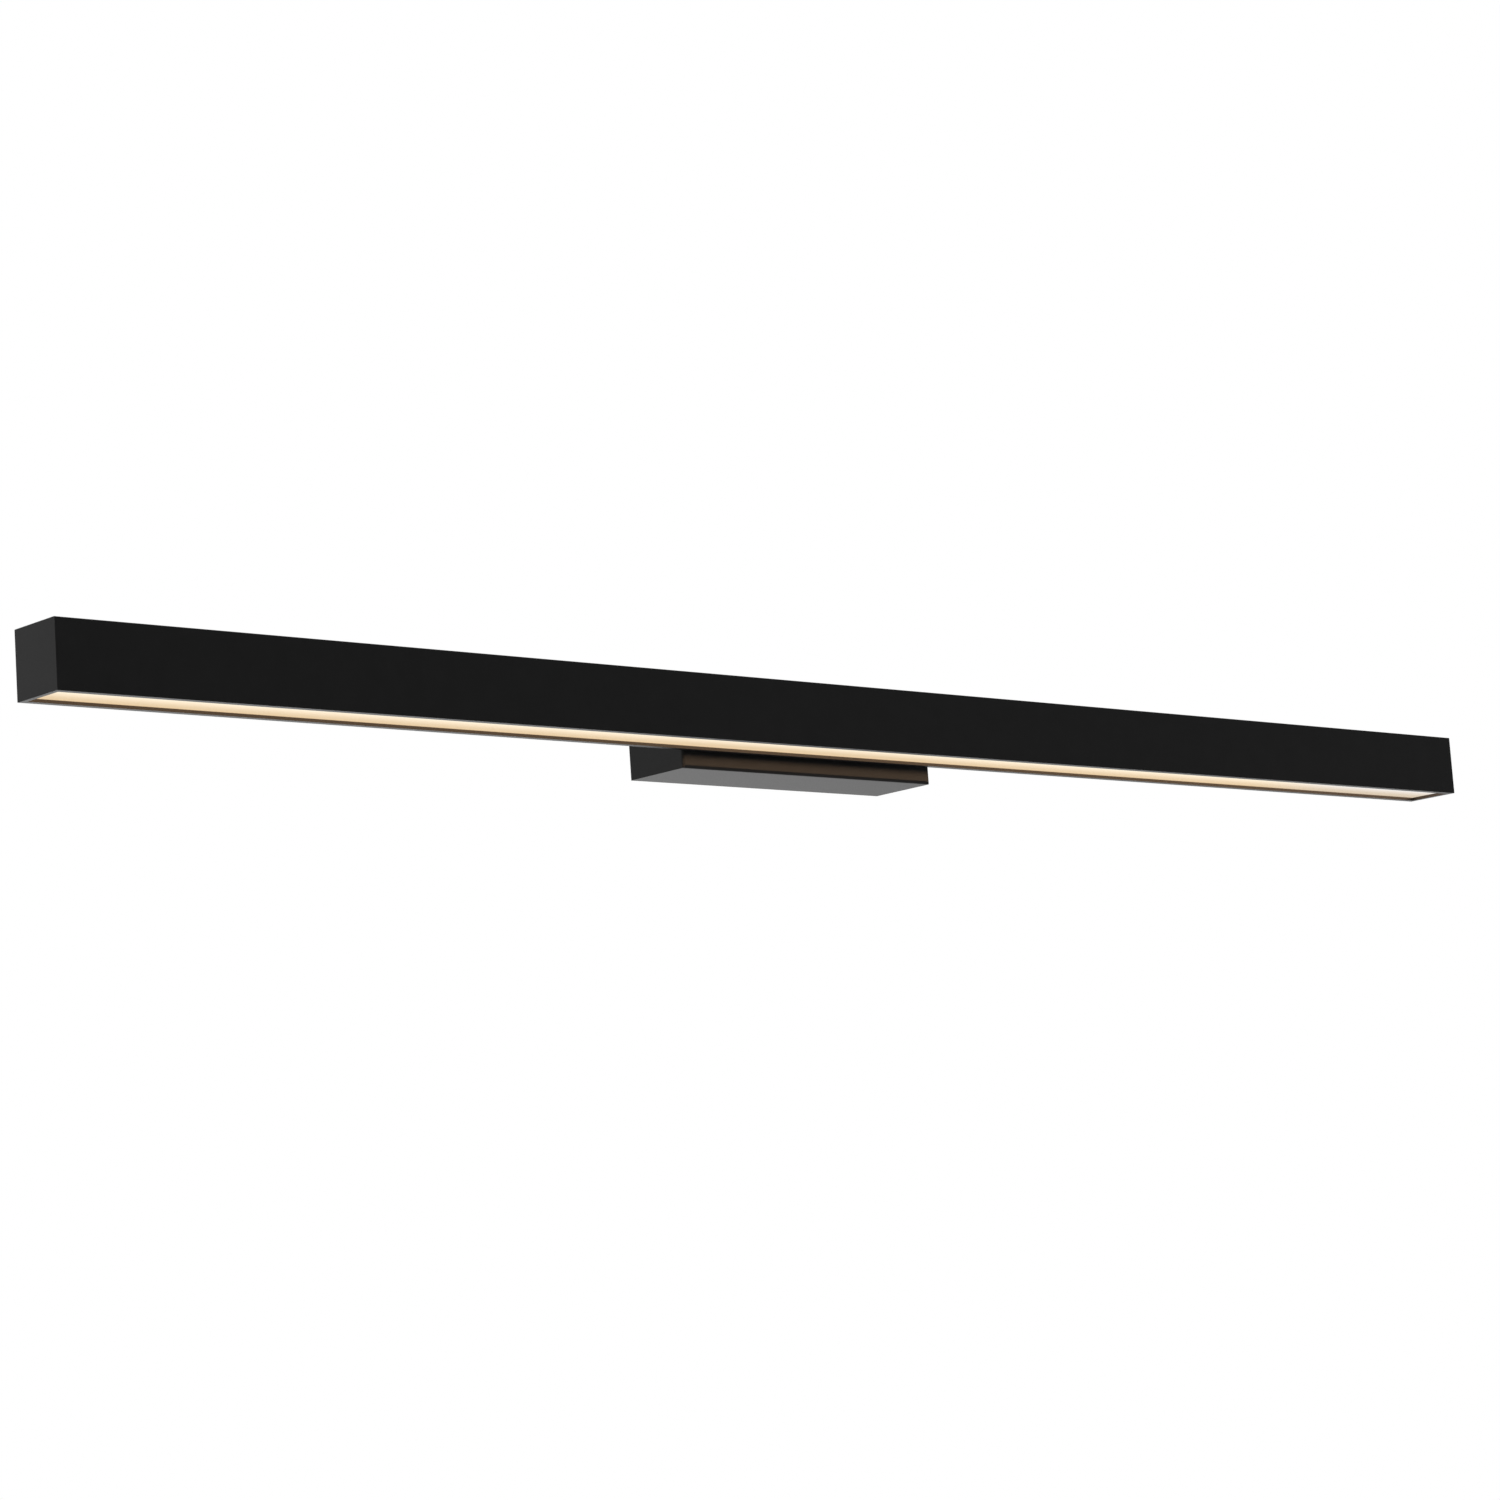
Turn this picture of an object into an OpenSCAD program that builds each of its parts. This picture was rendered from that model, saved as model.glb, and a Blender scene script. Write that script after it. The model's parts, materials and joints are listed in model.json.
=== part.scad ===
// Vanity light bar: a square channel with a lit underside, held off the wall by a canopy.
// The origin is on the wall, behind the middle of the bar. +X is along the bar,
// +Y goes into the wall and +Z is up. All sizes are in millimetres.

/* [Bar] */
// Length of the bar over its end caps
bar_len = 1219; // [1219:1:1524]
// Height and depth of the square channel
bar_size = 42; // [42:0.5:46]
// Thickness of the channel's top and sides
bar_wall = 1.8; // [1.5:0.1:2]
// Width of the two lips along the underside, outer face to opening
lip_w = 5; // [4:0.5:6]
// Thickness of the lips, which is how far the diffuser is set back
lip_t = 2; // [1.6:0.1:2.4]
// Thickness of each end cap
cap_t = 3.5; // [2.5:0.5:5]

/* [Canopy] */
// Width of the canopy
canopy_w = 220; // [210:1:260]
// Height of the canopy
canopy_h = 62; // [62:1:80]
// Depth of the canopy from the wall to its front
canopy_d = 53; // [50:1:60]
// Thickness of the canopy's sheet
sheet_t = 1.5; // [1.2:0.1:1.6]
// Outer radius of the canopy's front bends
bend_r = 2;   // [2:0.5:4]

/* [Standoff] */
// Gap between the canopy and the bar
gap = 7; // [7:1:15]
// Height of the bolt line above the bar's centre line
link_z = 10; // [10:0.1:10.4]
// Distance between the two bar bolts
bolt_spacing = 70; // [50:1:80]

/* [Wall bracket] */
// Distance between the bracket's two screw slots, to suit a device box
slot_spacing = 83.3; // [83.3, 88.9]
// Width of each slot
slot_w = 4.8; // [4.5:0.1:5.5]
// Length of each slot
slot_len = 12; // [8:1:16]
// Diameter of the hole that the house wires come through
wire_hole_d = 25; // [20:1:30]

/* [Light source] */
// Number of LED boards end to end
board_count = 4; // [4, 6]
// Distance between neighbouring chips
chip_pitch = 12; // [10:0.5:12]

/* [Hidden] */
$fn = 48;
slip = 0.1;            // clearance of a piece that sits in another
cut = 1;               // how far a cutting shape runs past the face that it cuts
wire_fn = 8;           // sides of a lead
lead_room = 0.4;       // clearance round a lead in its hole

// Bar
bar_back = -(canopy_d + gap);
bar_y = bar_back - bar_size / 2;
half = bar_size / 2;
inner = half - bar_wall;
edge_r = 0.4;
housing_len = bar_len - 2 * cap_t;
port_r = 1.6;
port_wall_r = 2.9;
port_y = 8;
port_z = inner - 2.2;
port_slot_w = 1.4;
peg_len = 8;

// Light chamber, from the lips upwards
diffuser_t = 2;
diffuser_z = -half + lip_t;
tray_t = 0.8;
tray_foot_z = diffuser_z + diffuser_t;
tray_top_z = 3;
side_play = 0.3;       // clearance of the diffuser and the tray from each side wall
tray_w = 2 * (inner - side_play);
rib_z = tray_top_z + 0.2;
rib_t = 1.2;
rib_len = 3;
end_play = 0.5;

// LED boards
board_gap = 5;
row_inset = 12;        // from the channel's end to the row of boards
board_len = (housing_len - 2 * row_inset) / board_count - board_gap;
board_w = 18;
board_t = 1.2;
board_z = tray_top_z - tray_t - board_t;
chip_l = 3.5;
chip_w = 2.8;
chip_h = 0.8;
chip_inset = 5;        // least distance from a board's end to its first chip
chip_count = floor((board_len - 2 * chip_inset) / chip_pitch) + 1;
side_row = 5.5;        // from the board's centre line to its screws and connectors
screw_spread = 0.4;    // outer screws, as a share of the board's length from its middle
conn_l = 9;
conn_w = 5;
conn_h = 4;
conn_inset = 6;
feed_conn_inset = 7.5;
jumper_d = 1.4;
jumper_pitch = 2.2;
jumper_z = board_z - conn_h / 2;

// Board screws
m3_r = 1.25;
m3_hole_r = 1.6;
m3_head_r = 2.8;
m3_head_h = 1.8;
m3_len = 5;

// Bolts from the canopy into the bar
m5_r = 2.45;
m5_hole_r = 2.75;
m5_head_r = 4.25;
m5_head_h = 5;
m5_hex_af = 4;
m5_hex_depth = 2.8;
m5_len = 20;
washer_r = 5;
washer_t = 1;
insert_r = 3.5;
insert_bore_r = 2.5;
insert_bulge_r = 4.7;
insert_bulge_t = 3;
insert_flange_r = 4.8;
insert_flange_t = 1;
insert_len = 11;
spacer_len = 96;
spacer_h = 18;
wire_r = 5.2;          // wire passage through the spacer
bushing_hole_r = 4.6;
bushing_r = 4.5;
bushing_bore_r = 3.2;
bushing_flange_r = 5.5;
bushing_flange_t = 1.2;
bushing_grip = 1.6;

// Tray grommet
grommet_y = bar_y + side_row;
grommet_r = 3.2;
grommet_bore_r = 2.3;
grommet_flange_r = 4.6;
grommet_flange_t = 1.2;

// Canopy
inside_w = canopy_w - 2 * sheet_t;
inside_h = canopy_h - 2 * sheet_t;
front_in = -canopy_d + sheet_t;

// Wall bracket
plate_t = 2;
plate_w = 150;
plate_play = 0.5;      // clearance above and below the bracket inside the canopy
plate_h = inside_h - 2 * plate_play;
plate_flange = 14;
flange_w = 110;
set_x = 40;
set_y = -8;
m4_r = 1.95;
m4_tap_r = 2;
m4_hole_r = 2.25;
m4_head_r = 3.8;
m4_head_h = 2.4;
m4_len = 8;
recess_l = 4;          // cross recess in the screw's head
recess_w = 0.8;
recess_depth = 1.2;
slot_end_r = slot_w / 2;
ground_at = [-60, 14];
ground_r = 2.2;
ground_tap_r = 2.3;
ground_head_af = 8;
ground_head_h = 3.4;
lug_r = 4.6;
lug_t = 0.8;
lug_barrel_r = 1.8;
lug_barrel_len = 7;
lug_neck = 2;

// LED driver in the canopy
driver_w = 120;
driver_h = 30;
driver_d = 22;
driver_z = -13.5;
driver_wall = 1.5;
ear_l = 12;
ear_h = 12;
ear_t = 1.2;
ear_hole = 7;          // from the case to the middle of each ear's hole
stud_x = driver_w / 2 + ear_hole;
stud_r = 2;
stud_len = 10;
nut_af = 7;
nut_h = 3.2;
driver_front = front_in + ear_t;
pcb_t = 1.6;
pcb_lift = 3;          // height of the circuit board above the case's floor
pcb_y = driver_front + driver_wall + pcb_lift;
pcb_back = pcb_y + pcb_t;
pcb_hole_inset = 6;
pcb_hole_x = driver_w / 2 - pcb_hole_inset;
pcb_hole_z = 9;
pcb_hole_r = 1.5;
lid_step = 2;
core_x = 12;
core_w = 20;
core_d = 12;
core_t = 3.5;
core_z = 7.25;
bobbin_w = 16;
bobbin_d = 10;
bobbin_lift = 1;
capacitors = [[-14, 4, 5, 12], [-14, -7, 4, 10], [34, 0, 4.5, 11]];  // x, z, radius, height
coil_x = -33;
coil_ring_r = 6;
coil_wire_r = 3;
lead_r = 1.2;
lead_y = -36;
lead_z = [-9, -17];
feed_z = -12;
lead_reach = 6;        // how far each lead runs straight on both sides of the case's end wall

// Wire nuts
nut_x = -26;
nut_y = -16;
nut_len = 18;
nut_r = 5.2;
nut_tip_r = 3.6;
nut_bore_r = 3.2;
nut_bore_len = 12;
nut_rows = [17, 3, -11];

// Routes of the leads. Each is a list of points that a smooth curve runs through.
feed_r = 0.8;
feed_split = 1.2;
// Each stop of the feed has its place and the direction in which the two leads lie side by side.
feed_route = [
    [[52, lead_y, feed_z], [0, 1, 0]], [[64, lead_y, feed_z], [0, 1, 0]], [[76, -34, -6], [0, 1, 0]],
    [[78, -32, 6], [0, 1, 0]], [[66, -31, 16], [0, 1, 0]], [[44, -33, 20], [0, 0.7, 0.7]],
    [[22, -36, 17], [0, 0, 1]], [[8, -42, 12], [0, 0, 1]], [[0, -50, 10], [0, 0, 1]],
    [[0, -54, 10], [0.7, 0, 0.7]], [[0, -58, 10], [1, 0, 0]], [[0, -66, 10], [1, 0, 0]],
    [[0, -73, 9.4], [1, 0, 0]], [[0, -75.5, 7], [0.9, 0.4, 0]], [[0, -75.5, 4.6], [0.4, 0.9, 0]],
    [[0, -75.5, 2.4], [0, 1, 0]], [[0.4, -75.5, 0.6], [0, 1, 0]], [[2, -75.5, -0.9], [0, 1, 0]],
    [[5, -75.5, -1], [0, 1, 0]]
];
line_route = [
    [lead_reach - driver_w / 2, lead_y, lead_z[0]], [-lead_reach - driver_w / 2, lead_y, lead_z[0]],
    [-76, -34, -6], [-84, -28, 4], [-76, -21, 14], [-58, -17, 18], [-42, -16, 17], [-22, -16, 17]
];
neutral_route = [
    [lead_reach - driver_w / 2, lead_y, lead_z[1]], [-lead_reach - driver_w / 2, lead_y, lead_z[1]],
    [-80, -34, -17], [-90, -28, -10], [-84, -20, -2], [-64, -16, 2], [-42, -16, 3], [-22, -16, 3]
];
ground_route = [
    [-60, -3.8, 7.4], [-60, -3.8, 4.4], [-60, -3.9, 1.4], [-60, -5, -2], [-61, -8, -6],
    [-57, -13, -10], [-44, -16, -11], [-22, -16, -11]
];

// ---- Shared shapes ----

// Places a shape drawn in (Y, Z) about the bar's centre line, extruded along X from x0.
module along_x(x0, len) {
    translate([x0, bar_y, 0]) rotate([90, 0, 90]) linear_extrude(len) children();
}

// Turns a shape that stands along Z so that it points along +Y.
module facing_wall(x, y, z) {
    translate([x, y, z]) rotate([-90, 0, 0]) children();
}

// Round cutter along +Y through a wall of thickness t whose near face is at y.
module through_wall(x, y, z, t, r) {
    facing_wall(x, y - cut, z) cylinder(h = t + 2 * cut, r = r);
}

// Round cutter along +Z through a sheet of thickness t whose lower face is at z.
module through_sheet(x, y, z, t, r) {
    translate([x, y, z - cut]) cylinder(h = t + 2 * cut, r = r);
}

// Block that is centred in X and Z and has its near face at y.
module block(w, d, h, y, z = 0) {
    translate([-w / 2, y, z - h / 2]) cube([w, d, h]);
}

// Rounded square outline of the bar.
module bar_outline() {
    corner = half - edge_r;
    square([2 * half, 2 * corner], center = true);
    square([2 * corner, 2 * half], center = true);
    for (y = [-corner, corner], z = [-corner, corner]) translate([y, z]) circle(edge_r);
}

// Rectangle with its near edge on y = 0 and its two far corners rounded.
module round_front(w, d, r) {
    translate([-w / 2, 0]) square([w, d - r]);
    translate([-w / 2 + r, 0]) square([w - 2 * r, d]);
    for (x = [-w / 2 + r, w / 2 - r]) translate([x, d - r]) circle(r);
}

// Box open towards the wall, with rounded bends round its front.
module folded_box(w, h, d, r, front) {
    intersection() {
        translate([0, front + d, -h / 2]) rotate([0, 0, 180]) linear_extrude(h) round_front(w, d, r);
        translate([-w / 2, front + d, 0]) rotate([90, 0, 90]) linear_extrude(w)
            rotate(90) round_front(h, d, r);
    }
}

// Slot along X, cut through a plate that lies on the wall.
module slot_cut(x, z) {
    run = slot_len - slot_w;
    for (end = [-run / 2, run / 2]) through_wall(x + end, -plate_t, z, plate_t, slot_end_r);
    translate([x - run / 2, -plate_t - cut, z - slot_end_r]) cube([run, plate_t + 2 * cut, slot_w]);
}

// Hexagonal prism across flats af.
module hex(af, h) {
    cylinder(h = h, r = af / sqrt(3), $fn = 6);
}

// ---- Smooth tube along a route ----

// Point on the curve between points b and c, with neighbours a and d.
function between(a, b, c, d, t) =
    0.5 * (2 * b + (c - a) * t + (2 * a - 5 * b + 4 * c - d) * t * t + (3 * b - a - 3 * c + d) * t * t * t);
function at(route, i) = route[max(0, min(len(route) - 1, i))];
function smooth(route, steps) = concat(
    [for (i = [0:len(route) - 2], k = [0:steps - 1])
        between(at(route, i - 1), at(route, i), at(route, i + 1), at(route, i + 2), k / steps)],
    [route[len(route) - 1]]
);
function unit(v) = v / norm(v);
function direction(path, i) = unit(at(path, i + 1) - at(path, i - 1));
// Side vector carried along the path so that the rings don't twist.
function sides(path, i = 0, last = [0.3, 0.2, 1]) =
    i == len(path) ? [] :
    let (d = direction(path, i), side = unit(last - (last * d) * d))
    concat([side], sides(path, i + 1, side));

module tube(route, r, steps = 3) {
    path = smooth(route, steps);
    side = sides(path);
    rings = len(path);
    points = [for (i = [0:rings - 1], k = [0:wire_fn - 1])
        let (a = 360 * k / wire_fn, across = cross(direction(path, i), side[i]))
        path[i] + r * (cos(a) * side[i] + sin(a) * across)];
    walls = [for (i = [0:rings - 2], k = [0:wire_fn - 1])
        let (next = (k + 1) % wire_fn)
        [i * wire_fn + k, (i + 1) * wire_fn + k, (i + 1) * wire_fn + next, i * wire_fn + next]];
    first = [for (k = [0:wire_fn - 1]) k];
    last = [for (k = [0:wire_fn - 1]) rings * wire_fn - 1 - k];
    polyhedron(points, concat([first], walls, [last]), convexity = 6);
}

// ---- Bar ----

module screw_port(side) {
    translate([side * port_y, port_z]) difference() {
        circle(port_wall_r);
        circle(port_r);
        translate([-port_slot_w / 2, -port_wall_r - cut]) square([port_slot_w, port_wall_r + cut]);
    }
}

module housing_profile() {
    difference() {
        bar_outline();
        translate([-inner, -half + lip_t]) square([2 * inner, half - lip_t + inner]);
        translate([-half + lip_w, -half - cut]) square([bar_size - 2 * lip_w, lip_t + 2 * cut]);
    }
    for (side = [-1, 1]) {
        translate([side > 0 ? inner - rib_len : -inner, rib_z]) square([rib_len, rib_t]);
        screw_port(side);
    }
}

module bar_housing() {
    color("#1b1b1b") difference() {
        along_x(-housing_len / 2, housing_len) housing_profile();
        through_wall(0, bar_back - bar_wall, link_z, bar_wall, bushing_hole_r);
        for (side = [-1, 1])
            through_wall(side * bolt_spacing / 2, bar_back - bar_wall, link_z, bar_wall, insert_r + slip);
    }
}

// The cap's plate covers the whole section, and its pegs press into the channel's screw ports.
module end_cap(side) {
    color("#202020") {
        along_x(side > 0 ? housing_len / 2 : -bar_len / 2, cap_t) bar_outline();
        for (y = [-port_y, port_y])
            translate([side * (housing_len / 2 - peg_len), bar_y + y, port_z])
                rotate([0, side * 90, 0]) cylinder(h = peg_len + cap_t / 2, r = port_r - slip / 2);
    }
}

module diffuser() {
    len = housing_len - 2 * end_play;
    color("#f6e7cd") along_x(-len / 2, len) translate([-tray_w / 2, diffuser_z]) square([tray_w, diffuser_t]);
}

// Folded sheet: its feet stand on the diffuser and the ribs hold it down.
module reflector_tray() {
    len = housing_len - 2 * end_play;
    color("white") difference() {
        along_x(-len / 2, len) difference() {
            translate([-tray_w / 2, tray_foot_z]) square([tray_w, tray_top_z - tray_foot_z]);
            translate([-tray_w / 2 + tray_t, tray_foot_z - cut])
                square([tray_w - 2 * tray_t, tray_top_z - tray_t - tray_foot_z + cut]);
        }
        through_sheet(0, grommet_y, tray_top_z - tray_t, tray_t, grommet_r + slip / 2);
        for (i = [0:board_count - 1])
            board_screw_places(i) through_sheet(0, 0, tray_top_z - tray_t, tray_t, m3_r + slip);
    }
}

// ---- LED boards ----

function board_x(i) = (i - (board_count - 1) / 2) * (board_len + board_gap);

module board_screw_places(i) {
    for (share = [-screw_spread, 0, screw_spread])
        translate([board_x(i) + share * board_len, bar_y + side_row, 0]) children();
}

module led_board(i) {
    color("whitesmoke") difference() {
        translate([board_x(i) - board_len / 2, bar_y - board_w / 2, board_z])
            cube([board_len, board_w, board_t]);
        board_screw_places(i) through_sheet(0, 0, board_z, board_t, m3_hole_r);
    }
}

module led_chips(i) {
    first = board_x(i) - (chip_count - 1) / 2 * chip_pitch;
    color("#f2d35b")
        for (k = [0:chip_count - 1])
            translate([first + k * chip_pitch - chip_l / 2, bar_y - chip_w / 2, board_z - chip_h])
                cube([chip_l, chip_w, chip_h]);
}

module board_screws() {
    color("silver")
        for (i = [0:board_count - 1]) board_screw_places(i) {
            translate([0, 0, board_z - m3_head_h]) cylinder(h = m3_head_h, r = m3_head_r);
            translate([0, 0, board_z - m3_head_h / 2]) cylinder(h = m3_len + m3_head_h / 2, r = m3_r);
        }
}

module connector(x, y) {
    translate([x - conn_l / 2, y - conn_w / 2, board_z - conn_h]) cube([conn_l, conn_w, conn_h]);
}

module board_connectors() {
    color("ivory") {
        for (i = [0:board_count - 1], side = [-1, 1])
            connector(board_x(i) + side * (board_len / 2 - conn_inset), bar_y - side_row);
        connector(board_x(board_count / 2) - board_len / 2 + feed_conn_inset, bar_y + side_row);
    }
}

module board_jumpers() {
    reach = board_gap + 2 * conn_inset - conn_l;
    color("firebrick")
        for (i = [0:board_count - 2], side = [-jumper_pitch / 2, jumper_pitch / 2])
            translate([(board_x(i) + board_x(i + 1) - reach) / 2, bar_y - side_row + side, jumper_z])
                rotate([0, 90, 0]) cylinder(h = reach, r = jumper_d / 2);
}

module tray_grommet() {
    base_z = tray_top_z - tray_t;
    color("#303030") difference() {
        union() {
            translate([0, grommet_y, base_z]) cylinder(h = tray_t + grommet_flange_t / 2, r = grommet_r);
            translate([0, grommet_y, tray_top_z]) cylinder(h = grommet_flange_t, r = grommet_flange_r);
        }
        through_sheet(0, grommet_y, base_z, tray_t + grommet_flange_t, grommet_bore_r);
    }
}

// The two feed leads share one route, side by side.
module feed_lead(side, tint) {
    color(tint) tube([for (stop = feed_route) stop[0] + side * feed_split * stop[1]], feed_r);
}

module feed_lead_positive() {
    feed_lead(1, "red");
}

module feed_lead_negative() {
    feed_lead(-1, "#202020");
}

// ---- Fixings between the canopy and the bar ----

module bolt_places(y) {
    for (side = [-1, 1]) facing_wall(side * bolt_spacing / 2, y, link_z) children();
}

// Blind rivet nuts: the flange is outside the bar's back wall and the bulge grips it from inside.
module rivet_nuts() {
    color("silver") bolt_places(bar_back - insert_len) difference() {
        union() {
            cylinder(h = insert_len, r = insert_r);
            translate([0, 0, insert_len]) cylinder(h = insert_flange_t, r = insert_flange_r);
            translate([0, 0, insert_len - bar_wall - insert_bulge_t])
                cylinder(h = insert_bulge_t, r = insert_bulge_r);
        }
        through_sheet(0, 0, 0, insert_len + insert_flange_t, insert_bore_r);
    }
}

module bar_bolts() {
    head_y = front_in + washer_t;
    color("#2a2a2a") bolt_places(head_y - m5_len) difference() {
        union() {
            cylinder(h = m5_len + m5_head_h / 2, r = m5_r);
            translate([0, 0, m5_len]) cylinder(h = m5_head_h, r = m5_head_r);
        }
        translate([0, 0, m5_len + m5_head_h - m5_hex_depth]) hex(m5_hex_af, m5_hex_depth + cut);
    }
}

module bolt_washers() {
    color("silver") bolt_places(front_in) difference() {
        cylinder(h = washer_t, r = washer_r);
        through_sheet(0, 0, 0, washer_t, m5_hole_r);
    }
}

module bar_spacer() {
    color("#1b1b1b") difference() {
        block(spacer_len, gap, spacer_h, bar_back, link_z);
        through_wall(0, bar_back, link_z, gap, wire_r);
        bolt_places(bar_back) through_sheet(0, 0, 0, gap, m5_hole_r);
        bolt_places(bar_back - cut) cylinder(h = cut + insert_flange_t + slip, r = insert_flange_r + slip);
    }
}

// One snap bushing: flange on the inner side, body through a wall of thickness wall.
module bushing(wall) {
    difference() {
        union() {
            cylinder(h = wall + bushing_grip + bushing_flange_t / 2, r = bushing_r);
            translate([0, 0, wall + bushing_grip]) cylinder(h = bushing_flange_t, r = bushing_flange_r);
        }
        through_sheet(0, 0, 0, wall + bushing_grip + bushing_flange_t, bushing_bore_r);
    }
}

module wire_bushings() {
    color("#151515") {
        facing_wall(0, -canopy_d - bushing_grip, link_z) bushing(sheet_t);
        translate([0, bar_back + bushing_grip, link_z]) rotate([90, 0, 0]) bushing(bar_wall);
    }
}

// ---- Canopy ----

module canopy() {
    color("#232323") difference() {
        folded_box(canopy_w, canopy_h, canopy_d, bend_r, -canopy_d);
        folded_box(inside_w, inside_h, canopy_d - sheet_t + cut, bend_r - sheet_t, front_in);
        through_wall(0, -canopy_d, link_z, sheet_t, bushing_hole_r);
        bolt_places(-canopy_d) through_sheet(0, 0, 0, sheet_t, m5_hole_r);
        for (side = [-1, 1]) through_sheet(side * set_x, set_y, inside_h / 2, sheet_t, m4_hole_r);
    }
}

module canopy_studs() {
    color("silver") for (side = [-1, 1])
        facing_wall(side * stud_x, front_in, driver_z) cylinder(h = stud_len, r = stud_r);
}

// Pan-head screws, down through the canopy's top into the bracket's top flange.
module canopy_set_screws() {
    color("#232323") for (side = [-1, 1]) translate([side * set_x, set_y, canopy_h / 2]) {
        difference() {
            cylinder(h = m4_head_h, r = m4_head_r);
            for (turn = [0, 90]) rotate(turn)
                translate([-recess_l / 2, -recess_w / 2, m4_head_h - recess_depth])
                    cube([recess_l, recess_w, recess_depth + cut]);
        }
        translate([0, 0, -m4_len]) cylinder(h = m4_len + m4_head_h / 4, r = m4_r);
    }
}

// ---- Wall bracket and ground ----

module wall_bracket() {
    color("#c8ccd0") difference() {
        union() {
            block(plate_w, plate_t, plate_h - 2 * plate_t, -plate_t);
            for (side = [-1, 1])
                block(flange_w, plate_flange, plate_t, -plate_flange, side * (plate_h - plate_t) / 2);
        }
        through_wall(0, -plate_t, 0, plate_t, wire_hole_d / 2);
        for (side = [-1, 1]) {
            slot_cut(side * slot_spacing / 2, 0);
            through_sheet(side * set_x, set_y, plate_h / 2 - plate_t, plate_t, m4_tap_r);
        }
        through_wall(ground_at[0], -plate_t, ground_at[1], plate_t, ground_tap_r);
    }
}

module ground_screw() {
    head_y = -plate_t - lug_t;
    color("seagreen") {
        facing_wall(ground_at[0], head_y - ground_head_h, ground_at[1]) hex(ground_head_af, ground_head_h);
        facing_wall(ground_at[0], head_y - ground_head_h / 2, ground_at[1])
            cylinder(h = ground_head_h / 2 - head_y - slip, r = ground_r);
    }
}

// Ring of sheet with a crimp barrel below it.
module ground_lug() {
    y = -plate_t - lug_t;
    barrel_z = ground_at[1] - lug_r;
    color("silver") difference() {
        union() {
            facing_wall(ground_at[0], y, ground_at[1]) cylinder(h = lug_t, r = lug_r);
            translate([ground_at[0] - lug_barrel_r / 2, y, barrel_z - lug_neck / 2])
                cube([lug_barrel_r, lug_t, lug_neck]);
            translate([ground_at[0], -plate_t - lug_barrel_r, barrel_z - lug_barrel_len])
                cylinder(h = lug_barrel_len, r = lug_barrel_r);
        }
        through_wall(ground_at[0], y, ground_at[1], lug_t, ground_r + slip);
        translate([ground_at[0], -plate_t - lug_barrel_r, barrel_z - lug_barrel_len - cut])
            cylinder(h = lug_barrel_len, r = feed_r + lead_room);
    }
}

module ground_lead() {
    color("limegreen") tube(ground_route, feed_r);
}

// ---- LED driver ----

// Round cutter through one end wall of the driver's case.
module end_hole(side, z, r) {
    translate([side * (driver_w / 2 + cut), lead_y, z]) rotate([0, -side * 90, 0])
        cylinder(h = driver_wall + 2 * cut, r = r);
}

module driver_case() {
    back = driver_front + driver_d;
    room_w = driver_w - 2 * driver_wall;
    room_h = driver_h - 2 * driver_wall;
    color("#3a3a3c") difference() {
        union() {
            block(driver_w, back - front_in, driver_h, front_in, driver_z);
            block(driver_w + 2 * ear_l, ear_t, ear_h, front_in, driver_z);
        }
        block(room_w, driver_d, room_h, driver_front + driver_wall, driver_z);
        for (side = [-1, 1]) through_wall(side * stud_x, front_in, driver_z, ear_t, stud_r + slip);
        for (z = lead_z) end_hole(-1, z, lead_r + lead_room);
        end_hole(1, feed_z, feed_r + feed_split + lead_room);
    }
}

module driver_lid() {
    back = driver_front + driver_d;
    step_w = driver_w - 2 * lid_step;
    step_h = driver_h - 2 * lid_step;
    color("#46464a") {
        block(driver_w, driver_wall, driver_h, back, driver_z);
        block(step_w, lid_step + driver_wall / 2, step_h, back - lid_step, driver_z);
    }
}

module driver_board() {
    color("darkgreen") difference() {
        block(driver_w - 2 * lid_step, pcb_t, driver_h - 2 * lid_step, pcb_y, driver_z);
        for (x = [-pcb_hole_x, pcb_hole_x], z = [-pcb_hole_z, pcb_hole_z])
            through_wall(x, pcb_y, driver_z + z, pcb_t, pcb_hole_r);
    }
}

// Two ferrite halves, above and below a wound bobbin.
module driver_transformer() {
    color("#5a4a20") translate([core_x, 0, 0]) {
        for (side = [-1, 1]) block(core_w, core_d, core_t, pcb_back, driver_z + side * core_z);
        block(bobbin_w, bobbin_d, 2 * core_z, pcb_back + bobbin_lift, driver_z);
    }
}

module driver_capacitors() {
    color("#1d2d55") for (can = capacitors)
        facing_wall(can[0], pcb_back, driver_z + can[1]) cylinder(h = can[3], r = can[2]);
}

// Wound ring that stands on the board.
module driver_inductor() {
    color("#b5651d") facing_wall(coil_x, pcb_back, driver_z)
        rotate_extrude() translate([coil_ring_r, coil_wire_r]) circle(coil_wire_r);
}

module driver_nuts() {
    color("silver") for (side = [-1, 1]) facing_wall(side * stud_x, driver_front, driver_z) difference() {
        hex(nut_af, nut_h);
        through_sheet(0, 0, 0, nut_h, stud_r + slip / 2);
    }
}

// ---- Supply leads and wire nuts ----

module supply_lead_line() {
    color("#222222") tube(line_route, lead_r);
}

module supply_lead_neutral() {
    color("white") tube(neutral_route, lead_r);
}

// Caps with their open end towards -X, one for each supply conductor and one for ground.
module wire_nuts() {
    color("orange") for (z = nut_rows) translate([nut_x, nut_y, z]) rotate([0, 90, 0]) difference() {
        union() {
            cylinder(h = nut_len / 3, r = nut_r);
            translate([0, 0, nut_len / 3]) cylinder(h = nut_len * 2 / 3, r1 = nut_r, r2 = nut_tip_r);
        }
        translate([0, 0, -cut]) cylinder(h = nut_bore_len + cut, r = nut_bore_r);
    }
}

// ---- Drawing ----

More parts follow.
